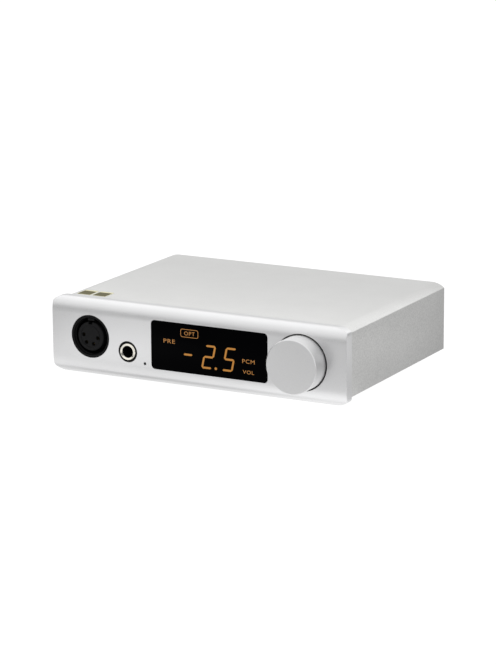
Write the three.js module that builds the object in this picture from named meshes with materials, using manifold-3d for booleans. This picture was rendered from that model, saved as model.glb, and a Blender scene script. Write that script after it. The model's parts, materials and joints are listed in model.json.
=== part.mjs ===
// A desktop digital-to-analogue converter with front headphone sockets, in millimetres.
// +X is right, +Y is towards the back, +Z is up. The origin is on the desk, at the middle of the
// whole device. Inside the chassis group, y is measured back from the front face of the plate.
import * as THREE from 'three';
import { mergeVertices } from 'three/addons/utils/BufferGeometryUtils.js';
import Module from 'manifold-3d';

const wasm = await Module();
wasm.setup();

// ---- Driving dimensions ----
const PLATE_WIDTH = 186.8;
const PLATE_HEIGHT = 44;
const PLATE_DEPTH = 7;
const PLATE_BOTTOM = 0.8; // height of the plate's lower edge above the desk
const PLATE_CROWN = { radius: 17.5, depth: 2.6 }; // rounding of the two long front edges
const CORNER = { radius: 12, angle: THREE.MathUtils.degToRad(40) }; // of the plate and the cover

const COVER_WIDTH = 184;
const COVER_TOP = 43.7;
const COVER_BOTTOM = 4.5;
const COVER_WALL = 2.5;
const COVER_BACK = 131.6;
const COVER_INNER_CHAMFER = 2;
const SEAM = 0.15; // visible joint between the cover and the plate

const FLOOR_BOTTOM = 5.5; // underside of the bottom plate
const FLOOR_THICKNESS = 1.5;
const FLOOR_HALF_WIDTH = COVER_WIDTH / 2 - COVER_WALL - 0.3;
const BOARD_BOTTOM = 8.6;
const BOARD_THICKNESS = 1.6;
const PANEL_OUTER = 130.6; // outer face of the rear panel
const PANEL_THICKNESS = 2;

const CONTROL_HEIGHT = 23; // line of the display, the knob and the balanced socket
const BALANCED_JACK = { x: -68.4, radius: 12.2, contactCircle: 4.65, contactTurn: -8 };
const HEADPHONE_JACK = { x: -43.84, z: 16.83, radius: 5.9, bore: 3.3 };
const DISPLAY = { x: 8.33, width: 73.5, height: 28, corner: 2.3, thickness: 1.95 };
const STATUS_LIGHT = { x: -32.7, z: 11.2, radius: 0.65 };
const KNOB = { x: 65.4, radius: 15.35, front: -11.2, back: 2 };
const KNOB_RECESS = { radius: 16.15, depth: 4.5, bushHole: 3.7 };
const SHAFT_RADIUS = 3;
const PUSH_TRAVEL = 0.5;

const OUT_HEIGHT = 22.8; // line of the large rear sockets
const LOW_SOCKET_HEIGHT = 15.9; // line of the board-mounted rear sockets
const BALANCED_OUT = { left: -43, right: -70 };
const LINE_OUT_X = -20;
const LINE_OUT_UPPER = 31.5;
const COAX_X = -5;
const OPTICAL = { x: 9.5, z: 15.3 };
const USB_X = 26;
const ROCKER = { x: 43, pivot: -2.2, tilt: THREE.MathUtils.degToRad(10) };
const POWER_INLET_X = 68;
const PHONO_PROUD = 9; // how far the phono barrels stand out of the rear panel
const PHONO = { neck: 4.4, flange: 5.3, barrel: 4.15, bore: 1.65 }; // radii
const XLR = { width: 26, height: 31, can: 11.9, mouth: 9.6, floor: -13, pin: 1.2 };
const USB = { width: 12, height: 10.8 };
const OPTICAL_NOSE = { width: 9.6, height: 9.4 };
const ROCKER_WELL = { width: 12.6, height: 18.8 };
const INLET_BODY = { width: 26.8, height: 19.6 };

const FRONT_FACE = -(PANEL_OUTER + PHONO_PROUD + KNOB.front) / 2; // centres the device on y = 0
const CHANNEL = { x: 86.3, low: 10.6, high: 37.8, radius: 3.4, start: 12, end: 128.4 };
const TAB = { x: 81.4, z: 9.9, width: 7, thickness: 1.5, above: 3.2 };
const FEET = { x: 74, front: 20, back: 116, radius: 7, pegRadius: 2, pegTop: 8.1 };
const LABEL = { outer: -80.3, inner: -70.2, y: 18.1, width: 8.6, length: 10.4, thickness: 0.12 };
const LABEL_GLUE = 0.02; // between a label and the cover
const BOARD_SCREWS = { main: [[-76, 40], [24, 96]], power: [[40, 30], [77, 100]] };

// Pan-head screws: radius and height of the head, radius of the shank, length under the head.
const REAR_SCREW = { head: 2.7, height: 1.7, shank: 1.2, reach: 8.6 };
const FRONT_SCREW = { head: 2.75, height: 1.5, shank: 1.4, reach: 4.9 };
const BOARD_SCREW = { head: 2.6, height: 1.6, shank: 1.2, reach: 4 };
const SCREW_PLAY = 0.15; // between a shank and a hole it passes through
const THREAD_PLAY = 0.1; // between a shank and the hole it is driven into

const ROUND = 24; // sides of an ordinary circle
const KNOB_ROUND = 40;
const SMALL_ROUND = 16;
const TINY_ROUND = 10;
const GAP = 0.1; // clearance between neighbouring pieces
const SEAT = 0.05; // joint line under a piece that rests on another

const FINISH = {
  blastedAluminium: { color: 0xd4d4d2, roughness: 0.45, metalness: 0.9 },
  turnedAluminium: { color: 0xc9c9c8, roughness: 0.3, metalness: 1 },
  steel: { color: 0xb9bbbd, roughness: 0.35, metalness: 1 },
  chrome: { color: 0xe6e2d6, roughness: 0.08, metalness: 1 },
  brass: { color: 0xc8a24a, roughness: 0.3, metalness: 1 },
  blackGloss: { color: 0x050505, roughness: 0.08, metalness: 0 },
  blackPlastic: { color: 0x1c1c1d, roughness: 0.5, metalness: 0 },
  rubber: { color: 0x161616, roughness: 0.9, metalness: 0 },
  board: { color: 0x143c28, roughness: 0.5, metalness: 0 },
  foil: { color: 0xa08a3c, roughness: 0.35, metalness: 0.8 },
  smokedClear: { color: 0x3a3a3c, roughness: 0.2, metalness: 0 },
  greyRibbon: { color: 0x9a9a9c, roughness: 0.6, metalness: 0 },
};

// ---- Solids ----

// A closed geometry as a solid that can be joined and cut.
function solid(geometry) {
  const bare = geometry.clone();
  bare.deleteAttribute('normal');
  bare.deleteAttribute('uv');
  const merged = mergeVertices(bare, 1e-4);
  const corners = merged.index.array;
  const kept = [];
  for (let i = 0; i < corners.length; i += 3) {
    const [a, b, c] = [corners[i], corners[i + 1], corners[i + 2]];
    if (a !== b && b !== c && c !== a) kept.push(a, b, c);
  }
  return new wasm.Manifold(new wasm.Mesh({
    numProp: 3,
    vertProperties: new Float32Array(merged.attributes.position.array),
    triVerts: new Uint32Array(kept),
  }));
}

function join(first, ...others) {
  return others.reduce((whole, next) => whole.add(next), first);
}

function cut(first, ...others) {
  return others.reduce((whole, next) => whole.subtract(next), first);
}

// A box between two values on each axis.
function block([x0, x1], [y0, y1], [z0, z1]) {
  const geometry = new THREE.BoxGeometry(x1 - x0, y1 - y0, z1 - z0);
  return solid(geometry.translate((x0 + x1) / 2, (y0 + y1) / 2, (z0 + z1) / 2));
}

// A box centred on x and z, between two values of y.
function bar(width, height, [y0, y1], x = 0, z = 0) {
  return block([x - width / 2, x + width / 2], [y0, y1], [z - height / 2, z + height / 2]);
}

// A cylinder along y.
function rod(radius, [y0, y1], x = 0, z = 0, sides = ROUND) {
  const geometry = new THREE.CylinderGeometry(radius, radius, y1 - y0, sides);
  return solid(geometry.translate(x, (y0 + y1) / 2, z));
}

// A cylinder along z.
function post(radius, [z0, z1], x = 0, y = 0, sides = ROUND) {
  const geometry = new THREE.CylinderGeometry(radius, radius, z1 - z0, sides);
  return solid(geometry.rotateX(Math.PI / 2).translate(x, y, (z0 + z1) / 2));
}

// A cylinder along x.
function pin(radius, [x0, x1], y = 0, z = 0, sides = SMALL_ROUND) {
  const geometry = new THREE.CylinderGeometry(radius, radius, x1 - x0, sides);
  return solid(geometry.rotateZ(Math.PI / 2).translate((x0 + x1) / 2, y, z));
}

// A profile of [radius, y] points turned about the y axis. It runs towards +Y on the outside.
function turned(points, sides = ROUND) {
  const profile = points.map(([radius, y]) => new THREE.Vector2(radius, y));
  return solid(new THREE.LatheGeometry(profile, sides));
}

// A closed ring profile turned about the y axis.
function ring(inner, outer, [y0, y1], sides = ROUND) {
  return turned([[inner, y0], [outer, y0], [outer, y1], [inner, y1], [inner, y0]], sides);
}

// A shape drawn in x and z, given thickness along y.
function slabAlongY(shape, [y0, y1], curveSegments = 6) {
  const options = { depth: y1 - y0, bevelEnabled: false, curveSegments };
  return solid(new THREE.ExtrudeGeometry(shape, options).rotateX(Math.PI / 2).translate(0, y1, 0));
}

// A shape drawn in y and z, given thickness along x.
function slabAlongX(shape, [x0, x1], curveSegments = 6) {
  const options = { depth: x1 - x0, bevelEnabled: false, curveSegments };
  const turn = new THREE.Matrix4().makeBasis(
    new THREE.Vector3(0, 1, 0),
    new THREE.Vector3(0, 0, 1),
    new THREE.Vector3(1, 0, 0),
  );
  return solid(new THREE.ExtrudeGeometry(shape, options).applyMatrix4(turn).translate(x0, 0, 0));
}

function polygon(points) {
  return new THREE.Shape(points.map(([u, v]) => new THREE.Vector2(u, v)));
}

// A rectangle with round corners, centred on u and v.
function roundedRectangle(width, height, radius, u = 0, v = 0) {
  const [left, right] = [u - width / 2, u + width / 2];
  const [low, high] = [v - height / 2, v + height / 2];
  const quarter = Math.PI / 2;
  const shape = new THREE.Shape();
  shape.moveTo(left + radius, low);
  shape.absarc(right - radius, low + radius, radius, -quarter, 0);
  shape.absarc(right - radius, high - radius, radius, 0, quarter);
  shape.absarc(left + radius, high - radius, radius, quarter, 2 * quarter);
  shape.absarc(left + radius, low + radius, radius, 2 * quarter, 3 * quarter);
  return shape;
}

// ---- Named pieces ----

function piece(name, body, finish) {
  const { vertProperties, triVerts } = body.getMesh();
  const geometry = new THREE.BufferGeometry();
  geometry.setAttribute('position', new THREE.BufferAttribute(vertProperties, 3));
  geometry.setIndex(new THREE.BufferAttribute(triVerts, 1));
  const mesh = new THREE.Mesh(geometry, new THREE.MeshStandardMaterial(finish));
  mesh.name = name;
  return mesh;
}

function groupAt([x, y, z], pieces, tilt = 0) {
  const group = new THREE.Group();
  group.add(...pieces);
  group.position.set(x, y, z);
  group.rotation.x = tilt;
  return group;
}

// ---- Housing ----

// Side outline of the front plate: flat front, crowned upper and lower edges, square back.
function plateOutline() {
  const { radius, depth } = PLATE_CROWN;
  const reach = Math.acos(1 - depth / radius);
  const [low, high] = [PLATE_BOTTOM, PLATE_BOTTOM + PLATE_HEIGHT];
  const rise = radius * Math.sin(reach);
  const shape = new THREE.Shape();
  shape.moveTo(PLATE_DEPTH, low);
  shape.lineTo(PLATE_DEPTH, high);
  shape.absarc(radius, high - rise, radius, Math.PI - reach, Math.PI);
  shape.absarc(radius, low + rise, radius, Math.PI, Math.PI + reach);
  return shape;
}

// Front outline of the plate: each corner is an arc that meets the upright end at an edge.
function plateFrontOutline() {
  const { radius, angle } = CORNER;
  const [low, high] = [PLATE_BOTTOM, PLATE_BOTTOM + PLATE_HEIGHT];
  const half = PLATE_WIDTH / 2;
  const arcX = half - radius * Math.sin(angle);
  const drop = radius * (1 - Math.cos(angle));
  const quarter = Math.PI / 2;
  const shape = new THREE.Shape();
  shape.moveTo(half, low + drop);
  shape.lineTo(half, high - drop);
  shape.absarc(arcX, high - radius, radius, quarter - angle, quarter);
  shape.absarc(-arcX, high - radius, radius, quarter, quarter + angle);
  shape.lineTo(-half, low + drop);
  shape.absarc(-arcX, low + radius, radius, -quarter - angle, -quarter);
  shape.absarc(arcX, low + radius, radius, -quarter, angle - quarter);
  return shape;
}

function faceplate() {
  const through = [-1, PLATE_DEPTH + 1];
  const half = PLATE_WIDTH / 2;
  const profile = slabAlongX(plateOutline(), [-half, half], 8);
  const windowPocket = roundedRectangle(
    DISPLAY.width + 2 * GAP, DISPLAY.height + 2 * GAP, DISPLAY.corner, DISPLAY.x, CONTROL_HEIGHT);
  const rim = { width: 2, corner: 1.5 }; // the window rests on this much metal all round
  const windowOpening = roundedRectangle(
    DISPLAY.width - 2 * rim.width, DISPLAY.height - 2 * rim.width, rim.corner,
    DISPLAY.x, CONTROL_HEIGHT);
  const screwHole = { radius: FRONT_SCREW.shank + SCREW_PLAY, front: 3.4 };
  const screwHoles = [-TAB.x, TAB.x].map(
    (x) => rod(screwHole.radius, [screwHole.front, PLATE_DEPTH + 1], x, TAB.z, TINY_ROUND));
  const balancedHole = BALANCED_JACK.radius + GAP;
  return cut(
    profile.intersect(slabAlongY(plateFrontOutline(), through, 6)),
    slabAlongY(windowPocket, [-1, DISPLAY.thickness + GAP]),
    slabAlongY(windowOpening, through, 4),
    rod(KNOB_RECESS.radius, [-1, KNOB_RECESS.depth], KNOB.x, CONTROL_HEIGHT, KNOB_ROUND),
    rod(KNOB_RECESS.bushHole, through, KNOB.x, CONTROL_HEIGHT, SMALL_ROUND),
    rod(balancedHole, through, BALANCED_JACK.x, CONTROL_HEIGHT),
    rod(HEADPHONE_JACK.radius + GAP, through, HEADPHONE_JACK.x, HEADPHONE_JACK.z),
    rod(STATUS_LIGHT.radius + GAP, through, STATUS_LIGHT.x, STATUS_LIGHT.z, TINY_ROUND),
    ...screwHoles,
  );
}

// End outline of the cover: flat sides, a crowned edge each side of a flat top, a lip at the foot
// of each wall that carries the bottom plate.
function coverOutline() {
  const { radius, angle } = CORNER;
  const half = COVER_WIDTH / 2;
  const inner = half - COVER_WALL;
  const ceiling = COVER_TOP - COVER_WALL;
  const arcX = half - radius * Math.sin(angle);
  const arcZ = COVER_TOP - radius;
  const quarter = Math.PI / 2;
  const lip = { width: 2, top: FLOOR_BOTTOM - 0.2 };
  const shape = new THREE.Shape();
  shape.moveTo(-half, COVER_BOTTOM);
  shape.lineTo(-half, arcZ + radius * Math.cos(angle));
  shape.absarc(-arcX, arcZ, radius, quarter + angle, quarter, true);
  shape.absarc(arcX, arcZ, radius, quarter, quarter - angle, true);
  shape.lineTo(half, COVER_BOTTOM);
  shape.lineTo(inner - lip.width, COVER_BOTTOM);
  shape.lineTo(inner - lip.width, lip.top);
  shape.lineTo(inner, lip.top);
  shape.lineTo(inner, ceiling - COVER_INNER_CHAMFER);
  shape.lineTo(inner - COVER_INNER_CHAMFER, ceiling);
  shape.lineTo(-inner + COVER_INNER_CHAMFER, ceiling);
  shape.lineTo(-inner, ceiling - COVER_INNER_CHAMFER);
  shape.lineTo(-inner, lip.top);
  shape.lineTo(-inner + lip.width, lip.top);
  shape.lineTo(-inner + lip.width, COVER_BOTTOM);
  return shape;
}

function channelPlaces() {
  return [-CHANNEL.x, CHANNEL.x].flatMap((x) => [[x, CHANNEL.low], [x, CHANNEL.high]]);
}

function topCover() {
  const shell = slabAlongY(coverOutline(), [PLATE_DEPTH + SEAM, COVER_BACK], 8);
  const { radius, start, end } = CHANNEL;
  const channels = channelPlaces().map(([x, z]) => rod(radius, [start, end], x, z, TINY_ROUND));
  const bore = REAR_SCREW.shank + THREAD_PLAY;
  const holes = channelPlaces().map(([x, z]) => rod(bore, [start - 1, end + 1], x, z, TINY_ROUND));
  return cut(join(shell, ...channels), ...holes);
}

// The floor of the case: a sheet with two upright tabs at the front and a standoff under each
// board screw.
function bottomPlate() {
  const top = FLOOR_BOTTOM + FLOOR_THICKNESS;
  const [front, back] = [PLATE_DEPTH + 0.3, PANEL_OUTER - PANEL_THICKNESS - 0.3];
  const standoff = { radius: 3, sides: 12, hole: BOARD_SCREW.shank + THREAD_PLAY };
  const tabHole = FRONT_SCREW.shank + 0.2;
  const tabZ = [FLOOR_BOTTOM, TAB.z + TAB.above];
  const solids = [-TAB.x, TAB.x].map(
    (x) => block([x - TAB.width / 2, x + TAB.width / 2], [front, front + TAB.thickness], tabZ));
  const through = [FLOOR_BOTTOM - 1, BOARD_BOTTOM + 1];
  const holes = [-TAB.x, TAB.x].map((x) => rod(tabHole, [front - 1, front + 3], x, TAB.z, TINY_ROUND));
  for (const [x, y] of Object.values(BOARD_SCREWS).flat()) {
    solids.push(post(standoff.radius, [top - 0.5, BOARD_BOTTOM - SEAT], x, y, standoff.sides));
    holes.push(post(standoff.hole, through, x, y, TINY_ROUND));
  }
  for (const x of [-FEET.x, FEET.x]) {
    for (const y of [FEET.front, FEET.back]) {
      holes.push(post(FEET.pegRadius + 0.2, through, x, y, TINY_ROUND));
    }
  }
  const sheet = block([-FLOOR_HALF_WIDTH, FLOOR_HALF_WIDTH], [front, back], [FLOOR_BOTTOM, top]);
  return cut(join(sheet, ...solids), ...holes);
}

// The back panel: an opening a little larger than each socket that stands in it.
function rearPanel() {
  const half = FLOOR_HALF_WIDTH;
  const [low, high] = [FLOOR_BOTTOM, COVER_TOP - COVER_WALL - 0.2];
  const corner = COVER_INNER_CHAMFER + 0.2;
  const outline = polygon([
    [-half, low], [half, low], [half, high - corner], [half - corner, high],
    [-half + corner, high], [-half, high - corner],
  ]);
  const through = [PANEL_OUTER - PANEL_THICKNESS - 1, PANEL_OUTER + 1];
  const phonoPlaces = [
    [LINE_OUT_X, LINE_OUT_UPPER], [LINE_OUT_X, LOW_SOCKET_HEIGHT], [COAX_X, LOW_SOCKET_HEIGHT],
  ];
  const screwHole = REAR_SCREW.shank + 0.3;
  const opening = ({ width, height }, x, z) => bar(width + 0.4, height + 0.4, through, x, z);
  return cut(
    slabAlongY(outline, [PANEL_OUTER - PANEL_THICKNESS, PANEL_OUTER]),
    ...Object.values(BALANCED_OUT).map((x) => rod(XLR.can + 0.2, through, x, OUT_HEIGHT)),
    ...phonoPlaces.map(([x, z]) => rod(PHONO.neck + 0.2, through, x, z, SMALL_ROUND)),
    opening(OPTICAL_NOSE, OPTICAL.x, OPTICAL.z),
    opening(USB, USB_X, LOW_SOCKET_HEIGHT),
    opening(ROCKER_WELL, ROCKER.x, OUT_HEIGHT),
    opening(INLET_BODY, POWER_INLET_X, OUT_HEIGHT),
    ...channelPlaces().map(([x, z]) => rod(screwHole, through, x, z, TINY_ROUND)),
  );
}

// A foot with a slightly tapered tread and a peg that snaps into the bottom plate.
function foot() {
  const { radius, pegRadius, pegTop } = FEET;
  const top = FLOOR_BOTTOM - SEAT;
  const edge = 0.8;
  const taper = 0.2;
  const profile = [
    [0, 0], [radius - edge, 0], [radius - taper, edge], [radius, top],
    [pegRadius, top], [pegRadius, pegTop], [0, pegTop],
  ];
  return turned(profile, SMALL_ROUND).rotate([90, 0, 0]);
}

// A pan-head screw along y, its head towards +Y and the underside of the head at y = 0.
function panScrew({ head, height, shank, reach }) {
  const slot = { width: 0.7, depth: 0.8 };
  const dome = { start: height * 0.6, top: head * 0.75 };
  const across = [height - slot.depth, height + 1];
  const body = turned([
    [0, -reach], [shank, -reach], [shank, 0], [head, 0],
    [head, dome.start], [dome.top, height], [0, height],
  ], 12);
  return cut(body, bar(slot.width, head, across), bar(head, slot.width, across));
}

function housing() {
  const pieces = [
    piece('faceplate', faceplate(), FINISH.blastedAluminium),
    piece('top_cover', topCover(), FINISH.blastedAluminium),
    piece('bottom_plate', bottomPlate(), FINISH.blastedAluminium),
    piece('rear_panel', rearPanel(), FINISH.blastedAluminium),
  ];
  for (const [side, x] of [['left', -FEET.x], ['right', FEET.x]]) {
    for (const end of ['front', 'back']) {
      pieces.push(groupAt([x, FEET[end], 0], [piece(`foot_${end}_${side}`, foot(), FINISH.rubber)]));
    }
    const tabBack = PLATE_DEPTH + 0.3 + TAB.thickness + SEAT;
    const screw = piece(`faceplate_screw_${side}`, panScrew(FRONT_SCREW), FINISH.steel);
    pieces.push(groupAt([Math.sign(x) * TAB.x, tabBack, TAB.z], [screw]));
    for (const level of ['low', 'high']) {
      const rearScrew = piece(`rear_screw_${level}_${side}`, panScrew(REAR_SCREW), FINISH.steel);
      pieces.push(groupAt([Math.sign(x) * CHANNEL.x, PANEL_OUTER + SEAT, CHANNEL[level]], [rearScrew]));
    }
  }
  for (const [name, x] of [['foil_label_outer', LABEL.outer], ['foil_label_inner', LABEL.inner]]) {
    const [halfWidth, halfLength] = [LABEL.width / 2, LABEL.length / 2];
    const body = block([-halfWidth, halfWidth], [-halfLength, halfLength], [0, LABEL.thickness]);
    pieces.push(groupAt([x, LABEL.y, COVER_TOP + LABEL_GLUE], [piece(name, body, FINISH.foil)]));
  }
  return pieces;
}

// ---- Front controls and sockets ----

function displayPieces() {
  const outline = roundedRectangle(DISPLAY.width, DISPLAY.height, DISPLAY.corner);
  const window = slabAlongY(outline, [0, DISPLAY.thickness]);
  const lit = { width: 68, height: 23.4, front: 2.4, back: 14.9 };
  const module = bar(lit.width, lit.height, [lit.front, lit.back]);
  return groupAt([DISPLAY.x, 0, CONTROL_HEIGHT], [
    piece('display_window', window, FINISH.blackGloss),
    piece('display_module', module, FINISH.blackPlastic),
  ]);
}

// The balanced socket: a can with a deep ring-shaped slot round a round insert. Four contacts
// stand 60 degrees apart on the lower half of a circle, and a key slot is at the top.
function balancedJackPieces() {
  const cavity = { radius: 10.9, depth: 14.1 };
  const rim = { radius: BALANCED_JACK.radius, back: 9 };
  const can = { radius: 11, back: 24 };
  const core = { radius: 8.4, front: 0.15, edge: 0.4, flange: 10.8, flangeFront: 12, back: 14 };
  const contact = { radius: 1.15, depth: 10 };
  const key = { width: 2.6, height: 2.2, z: 8.2, depth: 11 };
  const shell = turned([
    [0, cavity.depth], [cavity.radius, cavity.depth], [cavity.radius, 0], [rim.radius, 0],
    [rim.radius, rim.back], [can.radius, rim.back], [can.radius, can.back], [0, can.back],
  ]);
  const contacts = [180, 240, 300, 360].map((degrees) => {
    const angle = THREE.MathUtils.degToRad(degrees + BALANCED_JACK.contactTurn);
    const { contactCircle } = BALANCED_JACK;
    const [x, z] = [contactCircle * Math.cos(angle), contactCircle * Math.sin(angle)];
    return rod(contact.radius, [-1, contact.depth], x, z, 12);
  });
  const insert = cut(
    turned([
      [0, core.front], [core.radius - core.edge, core.front], [core.radius, core.front + core.edge],
      [core.radius, core.flangeFront], [core.flange, core.flangeFront], [core.flange, core.back],
      [0, core.back],
    ]),
    ...contacts,
    bar(key.width, key.height, [-1, key.depth], 0, key.z),
  );
  return groupAt([BALANCED_JACK.x, 0, CONTROL_HEIGHT], [
    piece('balanced_jack_shell', shell, FINISH.blackPlastic),
    piece('balanced_jack_insert', insert, FINISH.blackPlastic),
  ]);
}

// The 6.35 mm socket: a body on the board behind, and a bright funnel-mouthed collar in its neck.
function headphoneJackPieces() {
  const { radius, bore } = HEADPHONE_JACK;
  const collar = { radius: 5, back: 7.2, front: -0.5, lip: 4.8, mouth: 4.6, throat: 0.9 };
  const box = { width: 14.8, height: 12, front: 7.4, back: 38, boreEnd: 36 };
  const body = cut(
    join(rod(radius, [0, box.front + 0.6]), bar(box.width, box.height, [box.front, box.back])),
    rod(collar.radius + 0.05, [-1, collar.back + GAP]),
    rod(bore, [collar.back - 0.2, box.boreEnd]),
  );
  const bush = turned([
    [collar.mouth, collar.front], [collar.lip, collar.front], [collar.radius, 0],
    [collar.radius, collar.back], [bore, collar.back], [bore, collar.throat],
    [collar.mouth, collar.front],
  ]);
  return groupAt([HEADPHONE_JACK.x, 0, HEADPHONE_JACK.z], [
    piece('headphone_jack_body', body, FINISH.blackPlastic),
    piece('headphone_jack_collar', bush, FINISH.chrome),
  ]);
}

function statusLight() {
  const [front, back] = [0.05, 15];
  const pipe = rod(STATUS_LIGHT.radius, [front, back], 0, 0, TINY_ROUND);
  return groupAt([STATUS_LIGHT.x, 0, STATUS_LIGHT.z], [
    piece('status_light_pipe', pipe, FINISH.smokedClear),
  ]);
}

// The knob is turned from bar, hollow at the back to clear the encoder's nut, and bored for the
// shaft. A radial hole holds the grub screw.
const GRUB = { y: -4.8, holeRadius: 1.6, radius: 1.5, bottom: -9, top: -3.2 };

function knob() {
  const { radius, front, back } = KNOB;
  const edge = 0.35;
  const bore = { radius: SHAFT_RADIUS + 0.05, end: -8.2 };
  const hollow = { radius: 9, depth: 3.5 };
  const body = turned([
    [0, front], [radius - edge, front], [radius, front + edge], [radius, back],
    [hollow.radius, back], [hollow.radius, back - hollow.depth],
    [bore.radius, back - hollow.depth], [bore.radius, bore.end], [0, bore.end],
  ], KNOB_ROUND);
  const holeTop = GRUB.top + 0.6;
  return cut(body, post(GRUB.holeRadius, [-radius - 1, holeTop], 0, GRUB.y, TINY_ROUND));
}

function hexNut(acrossFlats, boreRadius, [y0, y1]) {
  const cornerRadius = acrossFlats / 2 / Math.cos(Math.PI / 6);
  const hole = rod(boreRadius, [y0 - 1, y1 + 1], 0, 0, SMALL_ROUND);
  return cut(rod(cornerRadius, [y0, y1], 0, 0, 6), hole);
}

// The rotary encoder: a threaded bush through the plate, and a square body behind it.
function encoder() {
  const bush = { radius: 3.5, front: 2.4, back: 8 };
  const can = { size: 13, front: 7.2, back: 15 };
  return cut(
    join(rod(bush.radius, [bush.front, bush.back], 0, 0, SMALL_ROUND),
      bar(can.size, can.size, [can.front, can.back])),
    rod(SHAFT_RADIUS + 0.08, [0, can.back - 0.4]),
  );
}

function knobPieces() {
  const liner = { inner: KNOB.radius + 0.35, outer: KNOB_RECESS.radius - 0.05, front: 1, back: 4.4 };
  const nut = { acrossFlats: 10, bore: 3.7, front: 2.6 };
  const shaft = { front: -8, back: 7.8 };
  const stem = { radius: 2.5, front: shaft.back + 0.15, back: 14.55 - PUSH_TRAVEL };
  const linerBody = ring(liner.inner, liner.outer, [liner.front, liner.back], KNOB_ROUND);
  const grubScrew = post(GRUB.radius, [GRUB.bottom, GRUB.top], 0, GRUB.y, TINY_ROUND);
  const stemBody = rod(stem.radius, [stem.front, stem.back], 0, 0, SMALL_ROUND);
  return groupAt([KNOB.x, 0, CONTROL_HEIGHT], [
    piece('volume_knob', knob(), FINISH.turnedAluminium),
    piece('knob_grub_screw', grubScrew, FINISH.steel),
    piece('knob_ring', linerBody, FINISH.blackPlastic),
    piece('encoder_nut', hexNut(nut.acrossFlats, nut.bore, [nut.front, liner.back]), FINISH.steel),
    piece('encoder_body', encoder(), FINISH.steel),
    piece('encoder_shaft', rod(SHAFT_RADIUS, [shaft.front, shaft.back]), FINISH.turnedAluminium),
    piece('encoder_push_stem', stemBody, FINISH.blackPlastic),
  ]);
}

// ---- Rear sockets, each drawn with the panel's outer face at y = 0 ----

// Square-flanged balanced output: a can behind the panel with three pins standing in it.
function balancedOut() {
  const flangeBack = 1.85;
  const flange = slabAlongY(roundedRectangle(XLR.width, XLR.height, 2.5), [SEAT, flangeBack], 4);
  const can = rod(XLR.can, [-20, 1]);
  const mouth = rod(XLR.mouth, [XLR.floor, flangeBack + 1]);
  const pins = [[-3.4, 1.9], [3.4, 1.9], [0, -3.9]].map(
    ([x, z]) => rod(XLR.pin, [XLR.floor - 1, -1.5], x, z, 12));
  const screwHoles = [[-9.5, 12.2], [9.5, -12.2]].map(([x, z]) => rod(1.6, [0, 3], x, z, TINY_ROUND));
  return join(cut(join(flange, can), mouth, ...screwHoles), ...pins);
}

// A phono socket: a block behind the panel, and a flanged barrel bored for the plug's pin.
function phonoSocket() {
  const { neck, flange, barrel, bore } = PHONO;
  const flangeBack = 1.6;
  const edge = 0.3;
  const body = { width: 10, height: 10.8, front: -14, back: -2.2 };
  const turning = turned([
    [0, -4], [neck, -4], [neck, SEAT], [flange, SEAT], [flange, flangeBack],
    [barrel, flangeBack], [barrel, PHONO_PROUD - edge], [barrel - edge, PHONO_PROUD],
    [bore, PHONO_PROUD], [bore, 1], [0, 1],
  ], SMALL_ROUND);
  return join(turning, bar(body.width, body.height, [body.front, body.back]));
}

// The USB type B socket: a shell with two cut upper corners in its mouth, and a square tongue.
function usbSocket() {
  const mouth = polygon([
    [-4.3, -3.9], [4.3, -3.9], [4.3, 2.4], [2.9, 3.9], [-2.9, 3.9], [-4.3, 2.4],
  ]);
  const tongue = { width: 5.6, height: 3.2 };
  const shell = cut(bar(USB.width, USB.height, [-16, 0.3]), slabAlongY(mouth, [-9, 1]));
  return join(shell, bar(tongue.width, tongue.height, [-10, -1]));
}

// The optical socket's flap hangs on a pin at the top of the mouth and opens inwards.
const FLAP = {
  y: -0.8, z: 3.2, length: 7.2, above: 0.4, width: 7.4, thickness: 0.8,
  pinRadius: 0.3, pinReach: 4.5,
};

function opticalSocket() {
  const mouth = { size: 7.8, floor: -10 };
  const base = { width: 13.4, height: 9.8, front: -13, back: -2.3 };
  const body = join(
    bar(OPTICAL_NOSE.width, OPTICAL_NOSE.height, [-4, 0.3]),
    bar(base.width, base.height, [base.front, base.back]),
  );
  const pinHole = pin(FLAP.pinRadius + 0.08, [-5.5, 5.5], FLAP.y, FLAP.z, 12);
  const lens = rod(1.25, [mouth.floor - 0.5, -8.4], 0, 0, 12);
  return join(cut(body, bar(mouth.size, mouth.size, [mouth.floor, 1]), pinHole), lens);
}

function opticalShutter() {
  const { width, length, above, thickness, pinRadius, pinReach } = FLAP;
  const leaf = block(
    [-width / 2, width / 2], [-thickness / 2, thickness / 2], [above - length, above]);
  return join(leaf, pin(pinRadius, [-pinReach, pinReach], 0, 0, 12));
}

// The switch's fixed part: a bezel, a well that holds the rocker's pin, and two blades behind.
function rockerFrame() {
  const { width, height } = ROCKER_WELL;
  const wall = 0.6;
  const bezel = slabAlongY(roundedRectangle(15, 21, 1.2), [SEAT, 1.5], 3);
  const blades = [-5, 5].map((z) => bar(6.3, 0.8, [-19, -11.5], 0, z));
  return cut(
    join(bezel, bar(width, height, [-12, 0.5]), ...blades),
    bar(width - 2 * wall, height - 2 * wall, [-10, 3]),
    pin(1.1, [-7, 7], ROCKER.pivot, 0, 12),
  );
}

// The rocker about its own pivot, untilted: two faces meeting in a shallow valley.
function rocker() {
  const outline = polygon([
    [4.6, -7.8], [3.4, 0], [4.6, 7.8], [-2, 7], [-5, 3], [-5, -3], [-2, -7],
  ].reverse());
  return join(slabAlongX(outline, [-5.5, 5.5]), pin(1, [-6.15, 6.15], 0, 0, 12));
}

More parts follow.
